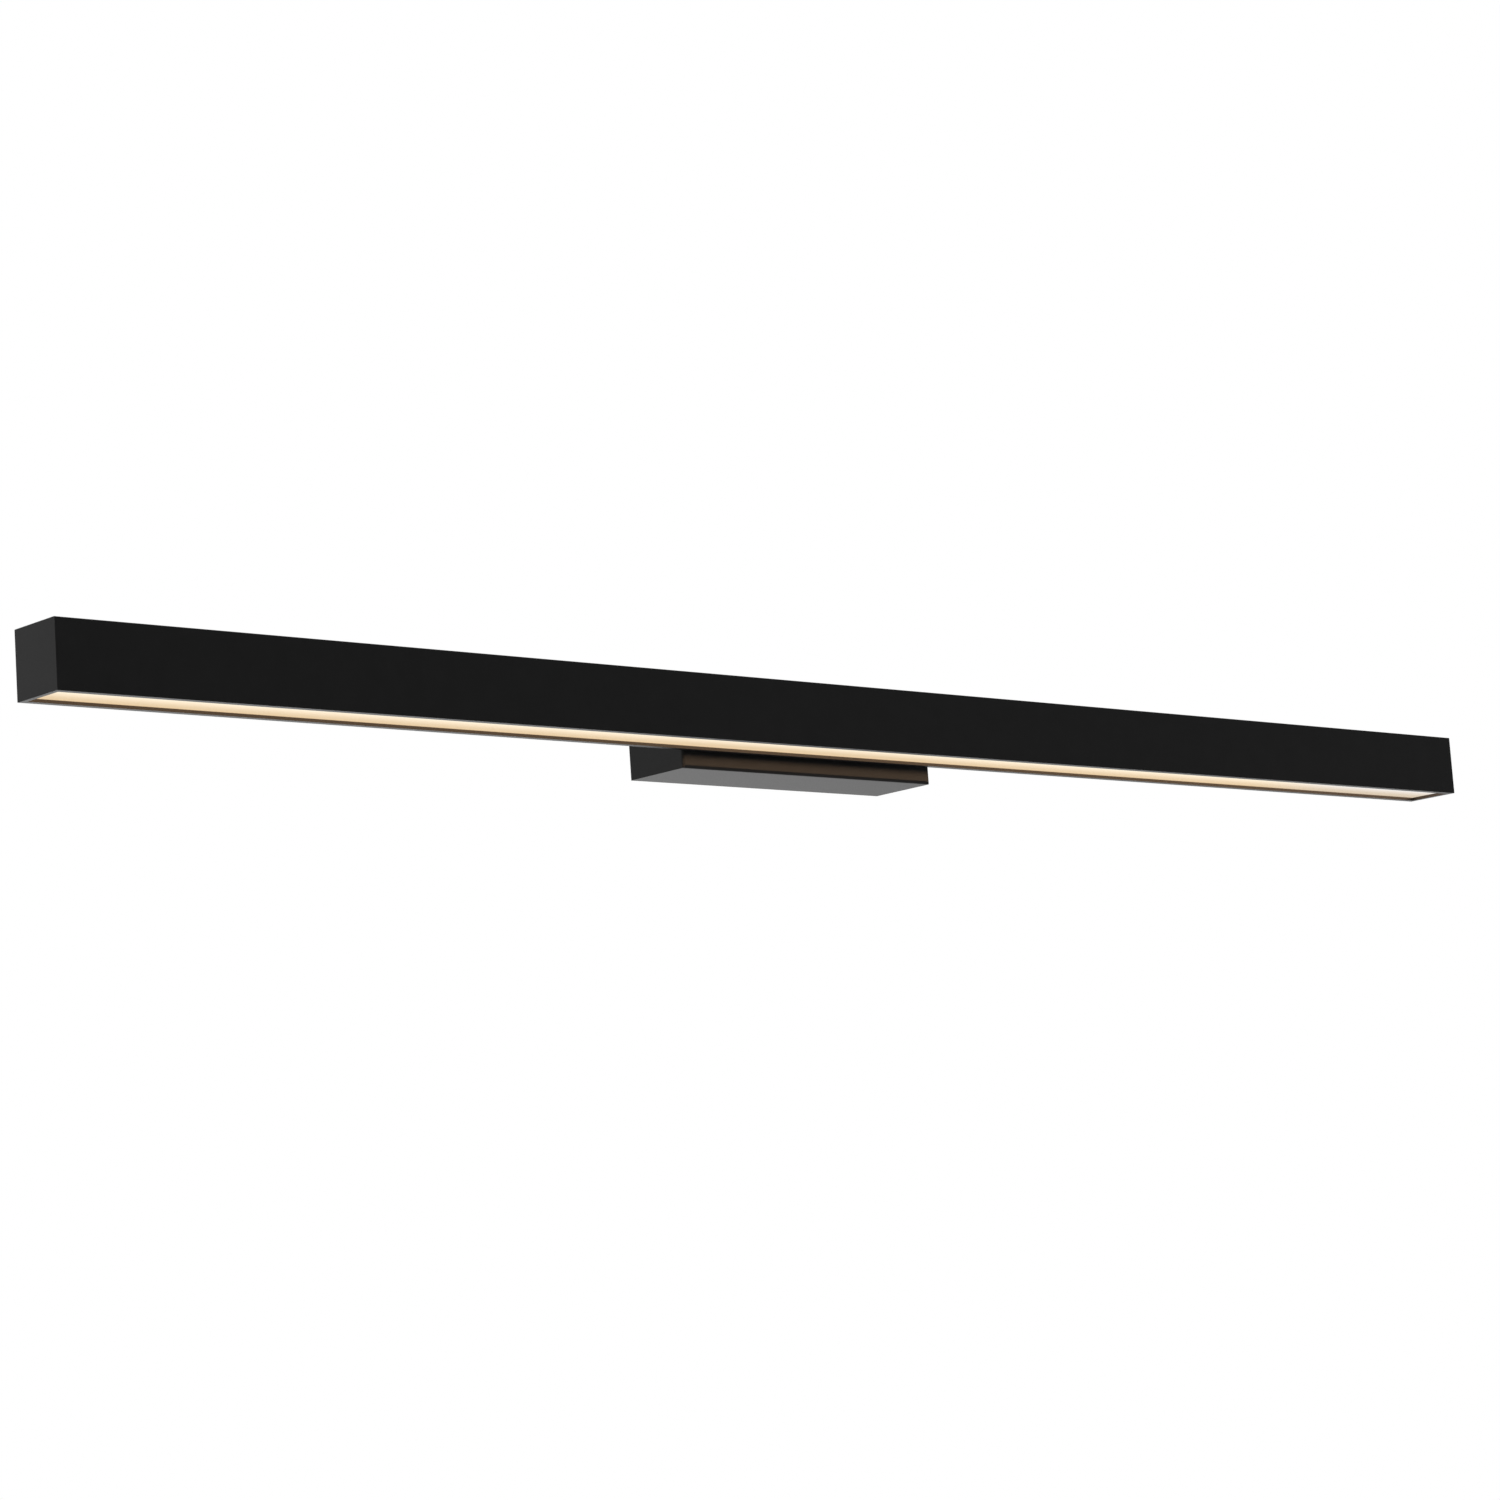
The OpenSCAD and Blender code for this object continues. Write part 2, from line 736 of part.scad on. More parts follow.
bar_housing();
end_cap(-1);  // end_cap_left
end_cap(1);  // end_cap_right
diffuser();
reflector_tray();
for (i = [1:board_count]) {
    led_board(i - 1);
    led_chips(i - 1);
}
board_screws();
board_connectors();
board_jumpers();
tray_grommet();
feed_lead_positive();
feed_lead_negative();
rivet_nuts();
bar_bolts();
bolt_washers();
bar_spacer();
wire_bushings();
canopy();
canopy_studs();
canopy_set_screws();
wall_bracket();
ground_screw();
ground_lug();
ground_lead();
driver_case();
driver_lid();
driver_board();
driver_transformer();
driver_capacitors();
driver_inductor();
driver_nuts();
supply_lead_line();
supply_lead_neutral();
wire_nuts();
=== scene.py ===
"""Looks of the vanity light bar: materials, fine detail, light and camera round its CAD frame."""

import json
import math

import bmesh
import bpy
from mathutils import Matrix, Vector


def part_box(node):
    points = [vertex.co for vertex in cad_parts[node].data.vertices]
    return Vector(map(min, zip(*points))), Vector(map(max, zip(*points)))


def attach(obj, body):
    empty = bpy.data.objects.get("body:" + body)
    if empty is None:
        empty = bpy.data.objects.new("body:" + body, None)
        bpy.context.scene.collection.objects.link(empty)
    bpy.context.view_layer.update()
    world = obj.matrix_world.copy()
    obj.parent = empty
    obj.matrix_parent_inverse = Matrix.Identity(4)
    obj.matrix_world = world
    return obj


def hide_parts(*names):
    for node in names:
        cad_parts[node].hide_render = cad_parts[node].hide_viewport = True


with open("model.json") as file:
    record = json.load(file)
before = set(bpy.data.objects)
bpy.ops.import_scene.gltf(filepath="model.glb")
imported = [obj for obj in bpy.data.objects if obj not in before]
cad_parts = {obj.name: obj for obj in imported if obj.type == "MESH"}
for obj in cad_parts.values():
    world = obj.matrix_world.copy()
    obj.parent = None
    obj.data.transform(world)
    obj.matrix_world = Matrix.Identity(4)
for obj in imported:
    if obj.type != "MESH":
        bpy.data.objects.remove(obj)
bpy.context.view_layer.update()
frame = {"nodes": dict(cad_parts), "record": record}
MM = 0.001


# ---- Node helpers ----


def new_material(name):
    """A material with its node tree and its Principled shader."""
    mat = bpy.data.materials.new(name)
    mat.use_nodes = True
    return mat, mat.node_tree, mat.node_tree.nodes["Principled BSDF"]


def add_node(tree, kind, **values):
    """A node whose attributes and inputs are set by name, an input to a value or to a socket."""
    node = tree.nodes.new(kind)
    for key, value in values.items():
        if isinstance(value, bpy.types.NodeSocket):
            tree.links.new(value, node.inputs[key])
        elif key in node.inputs:
            node.inputs[key].default_value = value
        else:
            setattr(node, key, value)
    return node


def remap(tree, value, ranges, smooth=False):
    """Maps a number from one range to another; ranges is (from, from, to, to)."""
    node = add_node(tree, "ShaderNodeMapRange", Value=value)
    node.interpolation_type = "SMOOTHSTEP" if smooth else "LINEAR"
    for socket, level in zip(("From Min", "From Max", "To Min", "To Max"), ranges):
        node.inputs[socket].default_value = level
    return node.outputs["Result"]


def mix_value(tree, factor, low, high):
    """Blends two numbers, either of which may be a plain float or a socket."""
    node = add_node(tree, "ShaderNodeMix", data_type="FLOAT", Factor=factor, A=low, B=high)
    return node.outputs["Result"]


def object_place(tree):
    """The surface's place in the object's own metres, the same in every view."""
    return add_node(tree, "ShaderNodeTexCoord").outputs["Object"]


def noise(tree, scale, detail=3.0, stretch=(1, 1, 1)):
    """A noise value over the surface, scale in cycles per metre."""
    mapping = add_node(tree, "ShaderNodeMapping", Scale=stretch, Vector=object_place(tree))
    place = mapping.outputs["Vector"]
    tex = add_node(tree, "ShaderNodeTexNoise", Scale=scale, Detail=detail, Vector=place)
    return tex.outputs["Fac"]


def gradient(tree, value, levels):
    """Maps a value onto colours or numbers; levels is pairs of (value, colour or number)."""
    node = add_node(tree, "ShaderNodeValToRGB", Fac=value)
    stops = node.color_ramp.elements
    while len(stops) < len(levels):
        stops.new(0.5)
    for stop, (place, level) in zip(stops, levels):
        stop.position = place
        stop.color = (level, level, level, 1) if isinstance(level, float) else (*level, 1)
    return node.outputs["Color"]


def vary(tree, shader, socket, value, low, high):
    """Lets a noise value, mostly 0.3 to 0.7, move a shader input between two levels."""
    tree.links.new(gradient(tree, value, ((0.3, low), (0.7, high))), shader.inputs[socket])


def bump(tree, shader, height, depth):
    """Raises the surface by a height value times depth, in metres."""
    node = add_node(tree, "ShaderNodeBump", Distance=depth, Strength=1.0, Height=height)
    tree.links.new(node.outputs["Normal"], shader.inputs["Normal"])


def shade(color, factor):
    return tuple(c * factor for c in color)


# ---- Materials ----


def powder_coat(name, color, rough):
    """Satin powder coat: orange peel about half a millimetre across, and a faint cloudiness."""
    mat, tree, shader = new_material(name)
    vary(tree, shader, "Base Color", noise(tree, 60), shade(color, 0.9), shade(color, 1.1))
    vary(tree, shader, "Roughness", noise(tree, 900), rough - 0.03, rough + 0.03)
    bump(tree, shader, noise(tree, 1800, 2), 0.000006)
    return mat


def plated_steel(name, color, rough=0.32):
    """Galvanised steel: crystal spangles a few millimetres wide over long rolling lines."""
    mat, tree, shader = new_material(name)
    shader.inputs["Metallic"].default_value = 1.0
    spangles = add_node(tree, "ShaderNodeTexVoronoi", Scale=170.0, Vector=object_place(tree))
    tone = add_node(tree, "ShaderNodeSeparateColor", Color=spangles.outputs["Color"])
    vary(tree, shader, "Base Color", tone.outputs["Red"], shade(color, 0.8), shade(color, 1.08))
    lines = noise(tree, 700, 3, (0.04, 1, 1))
    vary(tree, shader, "Roughness", lines, rough - 0.08, rough + 0.1)
    bump(tree, shader, lines, 0.00001)
    return mat


def moulded_plastic(name, color, rough=0.45, grain=0.00001):
    """Injection moulded plastic with a fine spark-eroded grain."""
    mat, tree, shader = new_material(name)
    vary(tree, shader, "Base Color", noise(tree, 120), shade(color, 0.93), shade(color, 1.07))
    vary(tree, shader, "Roughness", noise(tree, 1500), rough - 0.05, rough + 0.05)
    bump(tree, shader, noise(tree, 2600, 2), grain)
    return mat


def lead_insulation(name, color):
    return moulded_plastic(name, color, 0.38, 0.000005)


def rubber(name, color):
    return moulded_plastic(name, color, 0.7, 0.00002)


def solder_mask(name, color):
    """Circuit board: glossy mask whose tone follows the weave of the glass cloth below it."""
    mat, tree, shader = new_material(name)
    weave = add_node(tree, "ShaderNodeTexChecker", Scale=1400.0, Vector=object_place(tree))
    vary(tree, shader, "Base Color", weave.outputs["Fac"], shade(color, 0.96), shade(color, 1.04))
    vary(tree, shader, "Roughness", noise(tree, 500), 0.28, 0.4)
    bump(tree, shader, noise(tree, 2400, 2), 0.000006)
    return mat


def copper_winding(name, color):
    """Bare or enamelled copper wire, with darker bands across it."""
    mat, tree, shader = new_material(name)
    shader.inputs["Metallic"].default_value = 0.8
    place = object_place(tree)
    bands = add_node(tree, "ShaderNodeTexWave", Scale=520.0, Distortion=0.4, Vector=place)
    bands.bands_direction = "X"
    vary(tree, shader, "Base Color", bands.outputs["Fac"], shade(color, 0.5), shade(color, 1.2))
    shader.inputs["Roughness"].default_value = 0.3
    bump(tree, shader, bands.outputs["Fac"], 0.0002)
    return mat


# Light that leaves the opal strip: front lip to back lip, as a share of the opening's depth.
GLOW = (
    (0.00, (0.96, 0.98, 0.94)),
    (0.20, (0.91, 0.87, 0.71)),
    (0.45, (0.79, 0.63, 0.43)),
    (0.70, (0.65, 0.475, 0.265)),
    (1.00, (0.67, 0.46, 0.24)),
)
# The strip's right end is painted a little paler and dimmer, a painted reflection of the bright
# studio at a grazing angle: where that starts, and where it is complete.
PAINTED_REFLECTION_X = (0.40, 0.52)
PAINTED_REFLECTION_TINT = (0.84, 0.93, 1.2)


def lit_opal(name, color):
    """Opal acrylic lit from behind, palest at the front of the strip and warmest at its back, with
    its right end painted paler and dimmer as a painted reflection of the bright studio.
    """
    mat, tree, shader = new_material(name)
    low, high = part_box("diffuser")
    place = add_node(tree, "ShaderNodeSeparateXYZ", Vector=object_place(tree))
    across = remap(tree, place.outputs["Y"], (low.y, high.y, 0.0, 1.0))
    # Painted reflection: towards the strip's right end the glow is tinted paler and dimmer.
    pale = add_node(tree, "ShaderNodeMix", data_type="RGBA", blend_type="MULTIPLY")
    factor, first, second = (socket for socket in pale.inputs if socket.enabled)
    tree.links.new(remap(tree, place.outputs["X"], (*PAINTED_REFLECTION_X, 0.0, 1.0), smooth=True), factor)
    tree.links.new(gradient(tree, across, GLOW), first)
    second.default_value = (*PAINTED_REFLECTION_TINT, 1)
    emitted = next(socket for socket in pale.outputs if socket.enabled)
    tree.links.new(emitted, shader.inputs["Emission Color"])
    shader.inputs["Emission Strength"].default_value = 1.0
    vary(tree, shader, "Base Color", noise(tree, 400), shade(color, 0.3), shade(color, 0.32))
    shader.inputs["Roughness"].default_value = 0.6
    bump(tree, shader, noise(tree, 1500, 2), 0.000005)
    return mat


# Each of the record's slots: how its finish is made, its colour, and its roughness and grain.
FINISHES = {
    "bar_finish": (powder_coat, (0.010, 0.010, 0.0102), 0.36),
    "canopy_finish": (powder_coat, (0.010, 0.010, 0.0102), 0.38),
    "black_screws": (powder_coat, (0.02, 0.02, 0.02), 0.3),
    "diffuser": (lit_opal, (0.9, 0.86, 0.78)),
    "tray_white": (powder_coat, (0.85, 0.85, 0.83), 0.3),
    "board_white": (solder_mask, (0.8, 0.8, 0.78)),
    "led_phosphor": (moulded_plastic, (0.85, 0.66, 0.16), 0.35),
    "zinc_steel": (plated_steel, (0.62, 0.63, 0.65)),
    "connector_plastic": (moulded_plastic, (0.8, 0.78, 0.7)),
    "red_lead": (lead_insulation, (0.5, 0.02, 0.02)),
    "black_lead": (lead_insulation, (0.015, 0.015, 0.015)),
    "white_lead": (lead_insulation, (0.75, 0.75, 0.72)),
    "green_lead": (lead_insulation, (0.03, 0.28, 0.06)),
    "bushing_nylon": (moulded_plastic, (0.015, 0.015, 0.015)),
    "grommet_rubber": (rubber, (0.02, 0.02, 0.02)),
    "ground_green": (plated_steel, (0.08, 0.36, 0.14), 0.36),
    "tinned_lug": (plated_steel, (0.72, 0.72, 0.7), 0.3),
    "driver_plastic": (moulded_plastic, (0.05, 0.05, 0.055), 0.5, 0.00002),
    "circuit_green": (solder_mask, (0.01, 0.12, 0.04)),
    "transformer_tape": (moulded_plastic, (0.6, 0.44, 0.06), 0.3),
    "capacitor_sleeve": (moulded_plastic, (0.02, 0.03, 0.12), 0.25),
    "copper_winding": (copper_winding, (0.72, 0.33, 0.14)),
    "wire_nut_orange": (moulded_plastic, (0.78, 0.2, 0.02), 0.42),
}
materials = {slot: make(slot, *values) for slot, (make, *values) in FINISHES.items()}


def finish_cad_nodes():
    """Gives every CAD node the material of its slot in the record."""
    for part in frame["record"]["subparts"]:
        node = frame["nodes"][part["node"]]
        for slot in node.material_slots:
            slot.material = materials[part["material_slot"]]


# ---- Mesh helpers ----


def mm(x, y, z):
    """A place or a step in metres, from millimetres."""
    return Vector((x, y, z)) * MM


def aim(place, axis=(0, 0, 1)):
    """A frame at place whose Z runs along axis."""
    return Matrix.Translation(place) @ Vector(axis).to_track_quat("Z", "Y").to_matrix().to_4x4()


def skin(bm, loops, closed=False):
    """Bands of faces from loop to loop, and then from the last to the first or over both ends."""
    for first, second in zip(loops, loops[1:] + loops[:1] if closed else loops[1:]):
        count = len(first)
        for i in range(count):
            after = (i + 1) % count
            bm.faces.new((first[i], first[after], second[after], second[i]))
    if not closed:
        bm.faces.new(loops[0])
        bm.faces.new(loops[-1])


def turned(bm, rings, steps=32, hollow=False, where=Matrix()):
    """A turned solid, from rings of (height, radius) in millimetres. A radius may be a function of
    the angle. A hollow solid joins its last ring to its first, and another has a face at both."""
    loops = []
    for height, radius in rings:
        loop = []
        for i in range(steps):
            angle = math.tau * i / steps
            reach = radius(angle) if callable(radius) else radius
            point = mm(reach * math.cos(angle), reach * math.sin(angle), height)
            loop.append(bm.verts.new(where @ point))
        loops.append(loop)
    skin(bm, loops, hollow)


def thread(start, end, radius, pitch, depth):
    """Rings of a helical thread between two heights, plain at both ends."""
    count = max(2, round(abs(end - start) / pitch * 4))
    rings = [(start, radius - depth)]
    for i in range(1, count):
        height = start + (end - start) * i / count
        rings.append((height, lambda angle, h=height: (
            radius - depth * abs(2 * ((h / pitch - angle / math.tau) % 1) - 1))))
    return rings + [(end, radius - depth)]


def hexagon(flats):
    """Radius of a hexagon with a corner at angle 0."""
    return lambda angle: flats / 2 / math.cos(angle % (math.pi / 3) - math.pi / 6)


def chamfered(flats, depth):
    """Radius of a hexagon whose corners are turned off, at a depth below its face."""
    side = hexagon(flats)
    return lambda angle: min(side(angle), flats / 2 * 0.97 + depth * 1.8)


def ribbed(radius, count, share):
    """Radius of a round thing with so many ribs, each a share of the radius high."""
    return lambda angle: radius * (1 + share * math.cos(count * angle))


def sweep(bm, path, radius, sides=12, closed=False):
    """A round wire through points in metres, its radius in millimetres, open or closed."""
    loops = []
    side = None
    for i, point in enumerate(path):
        if closed:
            ahead = path[(i + 1) % len(path)] - path[i - 1]
        else:
            ahead = path[min(i + 1, len(path) - 1)] - path[max(i - 1, 0)]
        ahead.normalize()
        side = ahead.orthogonal() if side is None else side
        side = (side - ahead * side.dot(ahead)).normalized()
        across = ahead.cross(side)
        loop = []
        for k in range(sides):
            angle = math.tau * k / sides
            out = side * math.cos(angle) + across * math.sin(angle)
            loop.append(bm.verts.new(point + out * radius * MM))
        loops.append(loop)
    skin(bm, loops, closed)


def block(bm, low, high, soft=0.0, shape=None):
    """A box between two corners in metres. shape moves its corners, and soft rounds its edges by
    so many millimetres."""
    corners = bmesh.ops.create_cube(bm, size=1.0)["verts"]
    for corner in corners:
        share = corner.co + Vector((0.5, 0.5, 0.5))
        corner.co = Vector(low[k] + (high[k] - low[k]) * share[k] for k in range(3))
        if shape:
            corner.co = shape(corner.co)
    if soft:
        edges = dict.fromkeys(edge for corner in corners for edge in corner.link_edges)
        bmesh.ops.bevel(
            bm, geom=list(edges), offset=soft * MM, segments=2, affect="EDGES", profile=0.5)


def add_object(name, data):
    """A new object in the scene."""
    made = bpy.data.objects.new(name, data)
    bpy.context.scene.collection.objects.link(made)
    return made


def loose_object(bm, name):
    """An object in the scene from a finished mesh, which is used up."""
    mesh = bpy.data.meshes.new(name)
    bmesh.ops.recalc_face_normals(bm, faces=bm.faces[:])
    bm.to_mesh(mesh)
    bm.free()
    return add_object(name, mesh)


def carved(body, *cutters):
    """The body's mesh with each cutter's taken away from it in turn."""
    for cutter in cutters:
        whole = loose_object(body, "whole")
        tool = loose_object(cutter, "tool")
        cut = whole.modifiers.new("cut", "BOOLEAN")
        cut.operation = "DIFFERENCE"
        cut.solver = "EXACT"
        cut.object = tool
        body = bmesh.new()
        body.from_object(whole, bpy.context.evaluated_depsgraph_get())
        for spent in (whole, tool):
            bpy.data.meshes.remove(spent.data)
    return body


def built(build, *values, **named):
    """A new mesh from one of the builders."""
    bm = bmesh.new()
    build(bm, *values, **named)
    return bm


def copies(shape, frames, result=None):
    """A copy of the shape in each frame, added to a mesh or in a new one. The shape is used up."""
    mesh = bpy.data.meshes.new("pattern")
    shape.to_mesh(mesh)
    shape.free()
    if result is None:
        result = bmesh.new()
    for frame_at in frames:
        start = len(result.verts)
        result.from_mesh(mesh)
        bmesh.ops.transform(result, matrix=frame_at, verts=result.verts[start:])
    bpy.data.meshes.remove(mesh)
    return result


SMOOTH_BELOW = math.radians(35)


def piece(name, bm, slot, *replaced):
    """Turns a mesh into a piece of the light bar, with the finish of one of the record's slots."""
    made = loose_object(bm, name)
    made.data.materials.append(materials[slot])
    made.data.shade_smooth()
    made.data.set_sharp_from_angle(angle=SMOOTH_BELOW)
    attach(made, "root")
    if replaced:
        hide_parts(*replaced)
    return made


def pair_at(node, radius):
    """The two centres, along X, of a node that is a pair of round things of that radius."""
    low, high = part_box(node)
    return low.x + radius * MM, high.x - radius * MM


# ---- Screws, nuts and studs ----

# Width of the arms of a cross recess.
RECESS_W = 0.8


def pan_head(radius, height):
    """Rings of a pan head from its base up: a short straight side, then a dome with a flat top."""
    side = 0.35 * height
    rings = [(0, radius - 0.15), (0.15, radius), (side, radius)]
    for share in (0.25, 0.5, 0.75, 1.0):
        angle = share * math.pi / 2
        reach = radius * (0.55 + 0.45 * math.cos(angle))
        rings.append((side + (height - side) * math.sin(angle), reach))
    return rings


def pan_screw(shank_r, shank_l, pitch, head_r, head_h, depth):
    """A pan-head screw along Z, its head's base at 0, with a cross recess that ends in a point."""
    groove = pitch * 0.4
    rings = [(-shank_l, shank_r * 0.6)]
    rings += thread(-shank_l + 0.5, -0.5, shank_r, pitch, groove) + [(0, shank_r - groove)]
    body = built(turned, rings + pan_head(head_r, head_h), 36)
    arm = head_r * 0.55
    cuts = []
    for x, y in ((arm, RECESS_W / 2), (RECESS_W / 2, arm)):
        cuts.append(built(block, mm(-x, -y, head_h - depth), mm(x, y, head_h + 1)))
    point = [(head_h - depth * 1.3, 0.2), (head_h + 0.2, arm * 0.75)]
    cuts.append(built(turned, point, 24))
    return carved(body, *cuts)


M4_HEAD_R = 3.8
M4_HEAD_H = 2.4
M4_SHANK_R = 1.95
M4_PITCH = 0.7
BOARD_HEAD_R = 2.8
BOARD_HEAD_H = 1.8
FINE_PITCH = 0.5


def make_set_screws():
    """The two screws that hold the canopy on the bracket."""
    low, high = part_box("canopy_set_screws")
    base = high.z - M4_HEAD_H * MM
    middle = (low.y + high.y) / 2
    length = (base - low.z) / MM
    shape = pan_screw(M4_SHANK_R, length, M4_PITCH, M4_HEAD_R, M4_HEAD_H, M4_HEAD_H / 2)
    frames = [aim((x, middle, base)) for x in pair_at("canopy_set_screws", M4_HEAD_R)]
    piece("set_screws", copies(shape, frames), "black_screws", "canopy_set_screws")


BOARDS = ("led_board_1", "led_board_2", "led_board_3", "led_board_4")
# Places along a board as shares of its length, and how far its rows are from its middle line.
SCREW_SHARES = (-0.4, 0.0, 0.4)
BOARD_ROW = 5.5


def board_frames(shares, row, axis=(0, 0, -1)):
    """Frames on the underside of every LED board, at shares of its length from its middle."""
    frames = []
    for name in BOARDS:
        low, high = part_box(name)
        for share in shares:
            x = (low.x + high.x) / 2 + share * (high.x - low.x)
            frames.append(aim((x, (low.y + high.y) / 2 + row * MM, low.z), axis))
    return frames


def make_board_screws():
    """The screws that hold the LED boards to the tray."""
    shape = pan_screw(1.25, 5.0, FINE_PITCH, BOARD_HEAD_R, BOARD_HEAD_H, BOARD_HEAD_H / 2)
    frames = board_frames(SCREW_SHARES, BOARD_ROW)
    piece("tray_screws", copies(shape, frames), "zinc_steel", "board_screws")


BOLT_HEAD_R = 4.25
BOLT_HEAD_H = 5.0
BOLT_SHANK_R = 2.45
BOLT_PITCH = 0.8
BOLT_FLATS = 4.0
BOLT_SOCKET = 2.8
KNURLS = 36


def make_bolts():
    """Socket cap bolts with knurled heads."""
    low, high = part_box("bar_bolts")
    length = (high.y - low.y) / MM - BOLT_HEAD_H
    knurl = ribbed(BOLT_HEAD_R - 0.1, KNURLS, 0.02)
    rings = [(-length, 1.9)]
    rings += thread(-length + 0.6, -1, BOLT_SHANK_R, BOLT_PITCH, BOLT_PITCH / 2)
    rings += [(0, 2.3), (0, BOLT_HEAD_R - 0.3), (0.2, knurl), (BOLT_HEAD_H - 0.5, knurl)]
    rings += [(BOLT_HEAD_H, BOLT_HEAD_R - 0.6), (BOLT_HEAD_H, BOLT_FLATS / 2 + 0.5)]
    socket = BOLT_HEAD_H - BOLT_SOCKET
    key = hexagon(BOLT_FLATS)
    rings += [(BOLT_HEAD_H - 0.3, key), (socket, key), (socket - 0.5, 0.3)]
    shape = built(turned, rings, 4 * KNURLS)
    base = high.y - BOLT_HEAD_H * MM
    middle = (low.z + high.z) / 2
    frames = [aim((x, base, middle), (0, 1, 0)) for x in pair_at("bar_bolts", BOLT_HEAD_R)]
    piece("cap_bolts", copies(shape, frames), "black_screws", "bar_bolts")


NUT_FLATS = 7.0
NUT_BORE_R = 2.05
WASHER_T = 0.6
WASHER_R = 3.9
WASHER_TEETH = 12
STUD_THREAD = 0.28


def make_nuts():
    """Chamfered hexagon nuts, each on a star washer, on the canopy's threaded studs."""
    low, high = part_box("driver_nuts")
    height = (high.y - low.y) / MM
    rings = [(WASHER_T + d, chamfered(NUT_FLATS, d)) for d in (0, 0.2, 0.4)]
    rings += [(height - d, chamfered(NUT_FLATS, d)) for d in (0.4, 0.2, 0)]
    rings += [(height, 2.5), (height - 0.3, NUT_BORE_R)]
    rings += [(WASHER_T + 0.3, NUT_BORE_R), (WASHER_T, 2.5)]
    nut = built(turned, rings, 48, hollow=True)
    teeth = ribbed(WASHER_R, WASHER_TEETH, 0.05)
    top = WASHER_T - 0.05
    star = [(0, teeth), (top, teeth), (top, 2.1), (0, 2.1)]
    star = built(turned, star, 48, hollow=True)
    stud_low, stud_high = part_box("canopy_studs")
    length = (stud_high.y - stud_low.y) / MM
    radius = (stud_high.z - stud_low.z) / 2 / MM
    rings = [(0, radius)] + thread(1, length - 0.6, radius, M4_PITCH, STUD_THREAD)
    stud = built(turned, rings + [(length, radius * 0.7)])
    places = pair_at("canopy_studs", radius)
    middle = (stud_low.z + stud_high.z) / 2
    at_nut = [aim((x, low.y, middle), (0, 1, 0)) for x in places]
    at_stud = [aim((x, stud_low.y, middle), (0, 1, 0)) for x in places]
    piece("ear_nuts", copies(nut, at_nut), "zinc_steel", "driver_nuts")
    piece("star_washers", copies(star, at_nut), "zinc_steel")
    piece("threaded_studs", copies(stud, at_stud), "zinc_steel", "canopy_studs")


GROUND_HEAD_H = 3.4
GROUND_FLATS = 7.0
GROUND_FLANGE_R = 4.5


def make_ground_screw():
    """Green hexagon screw with a flange and a slot."""
    low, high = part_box("ground_screw")
    length = (high.y - low.y) / MM - GROUND_HEAD_H
    rings = [(-length, 1.7)]
    rings += thread(-length + 0.3, -0.3, 2.2, 0.8, 0.35)
    rings += [(0, 1.9), (0, GROUND_FLANGE_R), (0.5, GROUND_FLANGE_R), (0.9, hexagon(GROUND_FLATS))]
    rings += [(GROUND_HEAD_H - d, chamfered(GROUND_FLATS, d)) for d in (0.4, 0.2, 0)]
    body = built(turned, rings, 48)
    slot = built(block, mm(-0.6, -6, GROUND_HEAD_H - 1.5), mm(0.6, 6, GROUND_HEAD_H + 1))
    base = low.y + GROUND_HEAD_H * MM
    where = aim(((low.x + high.x) / 2, base, (low.z + high.z) / 2), (0, -1, 0))
    shape = copies(carved(body, slot), [where])
    piece("slotted_ground_screw", shape, "ground_green", "ground_screw")


# ---- Leads and wire nuts ----

# Stops on the leads' routes, in millimetres. A feed stop also says how its two leads lie apart.
FEED = (
    ((52, -36, -12), (0, 1, 0)), ((64, -36, -12), (0, 1, 0)), ((76, -34, -6), (0, 1, 0)),
    ((78, -32, 6), (0, 1, 0)), ((66, -31, 16), (0, 1, 0)), ((44, -33, 20), (0, 0.7, 0.7)),
    ((22, -36, 17), (0, 0, 1)), ((8, -42, 12), (0, 0, 1)), ((0, -50, 10), (0, 0, 1)),
    ((0, -54, 10), (0.7, 0, 0.7)), ((0, -58, 10), (1, 0, 0)), ((0, -66, 10), (1, 0, 0)),
    ((0, -73, 9.4), (1, 0, 0)), ((0, -75.5, 7), (0.9, 0.4, 0)), ((0, -75.5, 4.6), (0.4, 0.9, 0)),
    ((0, -75.5, 2.4), (0, 1, 0)), ((0.4, -75.5, 0.6), (0, 1, 0)), ((2, -75.5, -0.9), (0, 1, 0)),
    ((5, -75.5, -1), (0, 1, 0)),
)
FEED_SPLIT = 1.2
FEED_R = 0.8
LINE = (
    (-54, -36, -9), (-66, -36, -9), (-76, -34, -6), (-84, -28, 4),
    (-76, -21, 14), (-58, -17, 18), (-42, -16, 17), (-22, -16, 17),
)
NEUTRAL = (
    (-54, -36, -17), (-66, -36, -17), (-80, -34, -17), (-90, -28, -10),
    (-84, -20, -2), (-64, -16, 2), (-42, -16, 3), (-22, -16, 3),
)
GROUND = (
    (-60, -3.8, 7.4), (-60, -3.8, 4.4), (-60, -3.9, 1.4), (-60, -5, -2),
    (-61, -8, -6), (-57, -13, -10), (-44, -16, -11), (-22, -16, -11),
)
LEAD_R = 1.2
# The bare end of each lead, inside its wire nut.
STRIP_LEN = 7.0
STRANDS = 7
STRAND_R = 0.24
TWIST_R = 0.5
TWIST_STEPS = 12


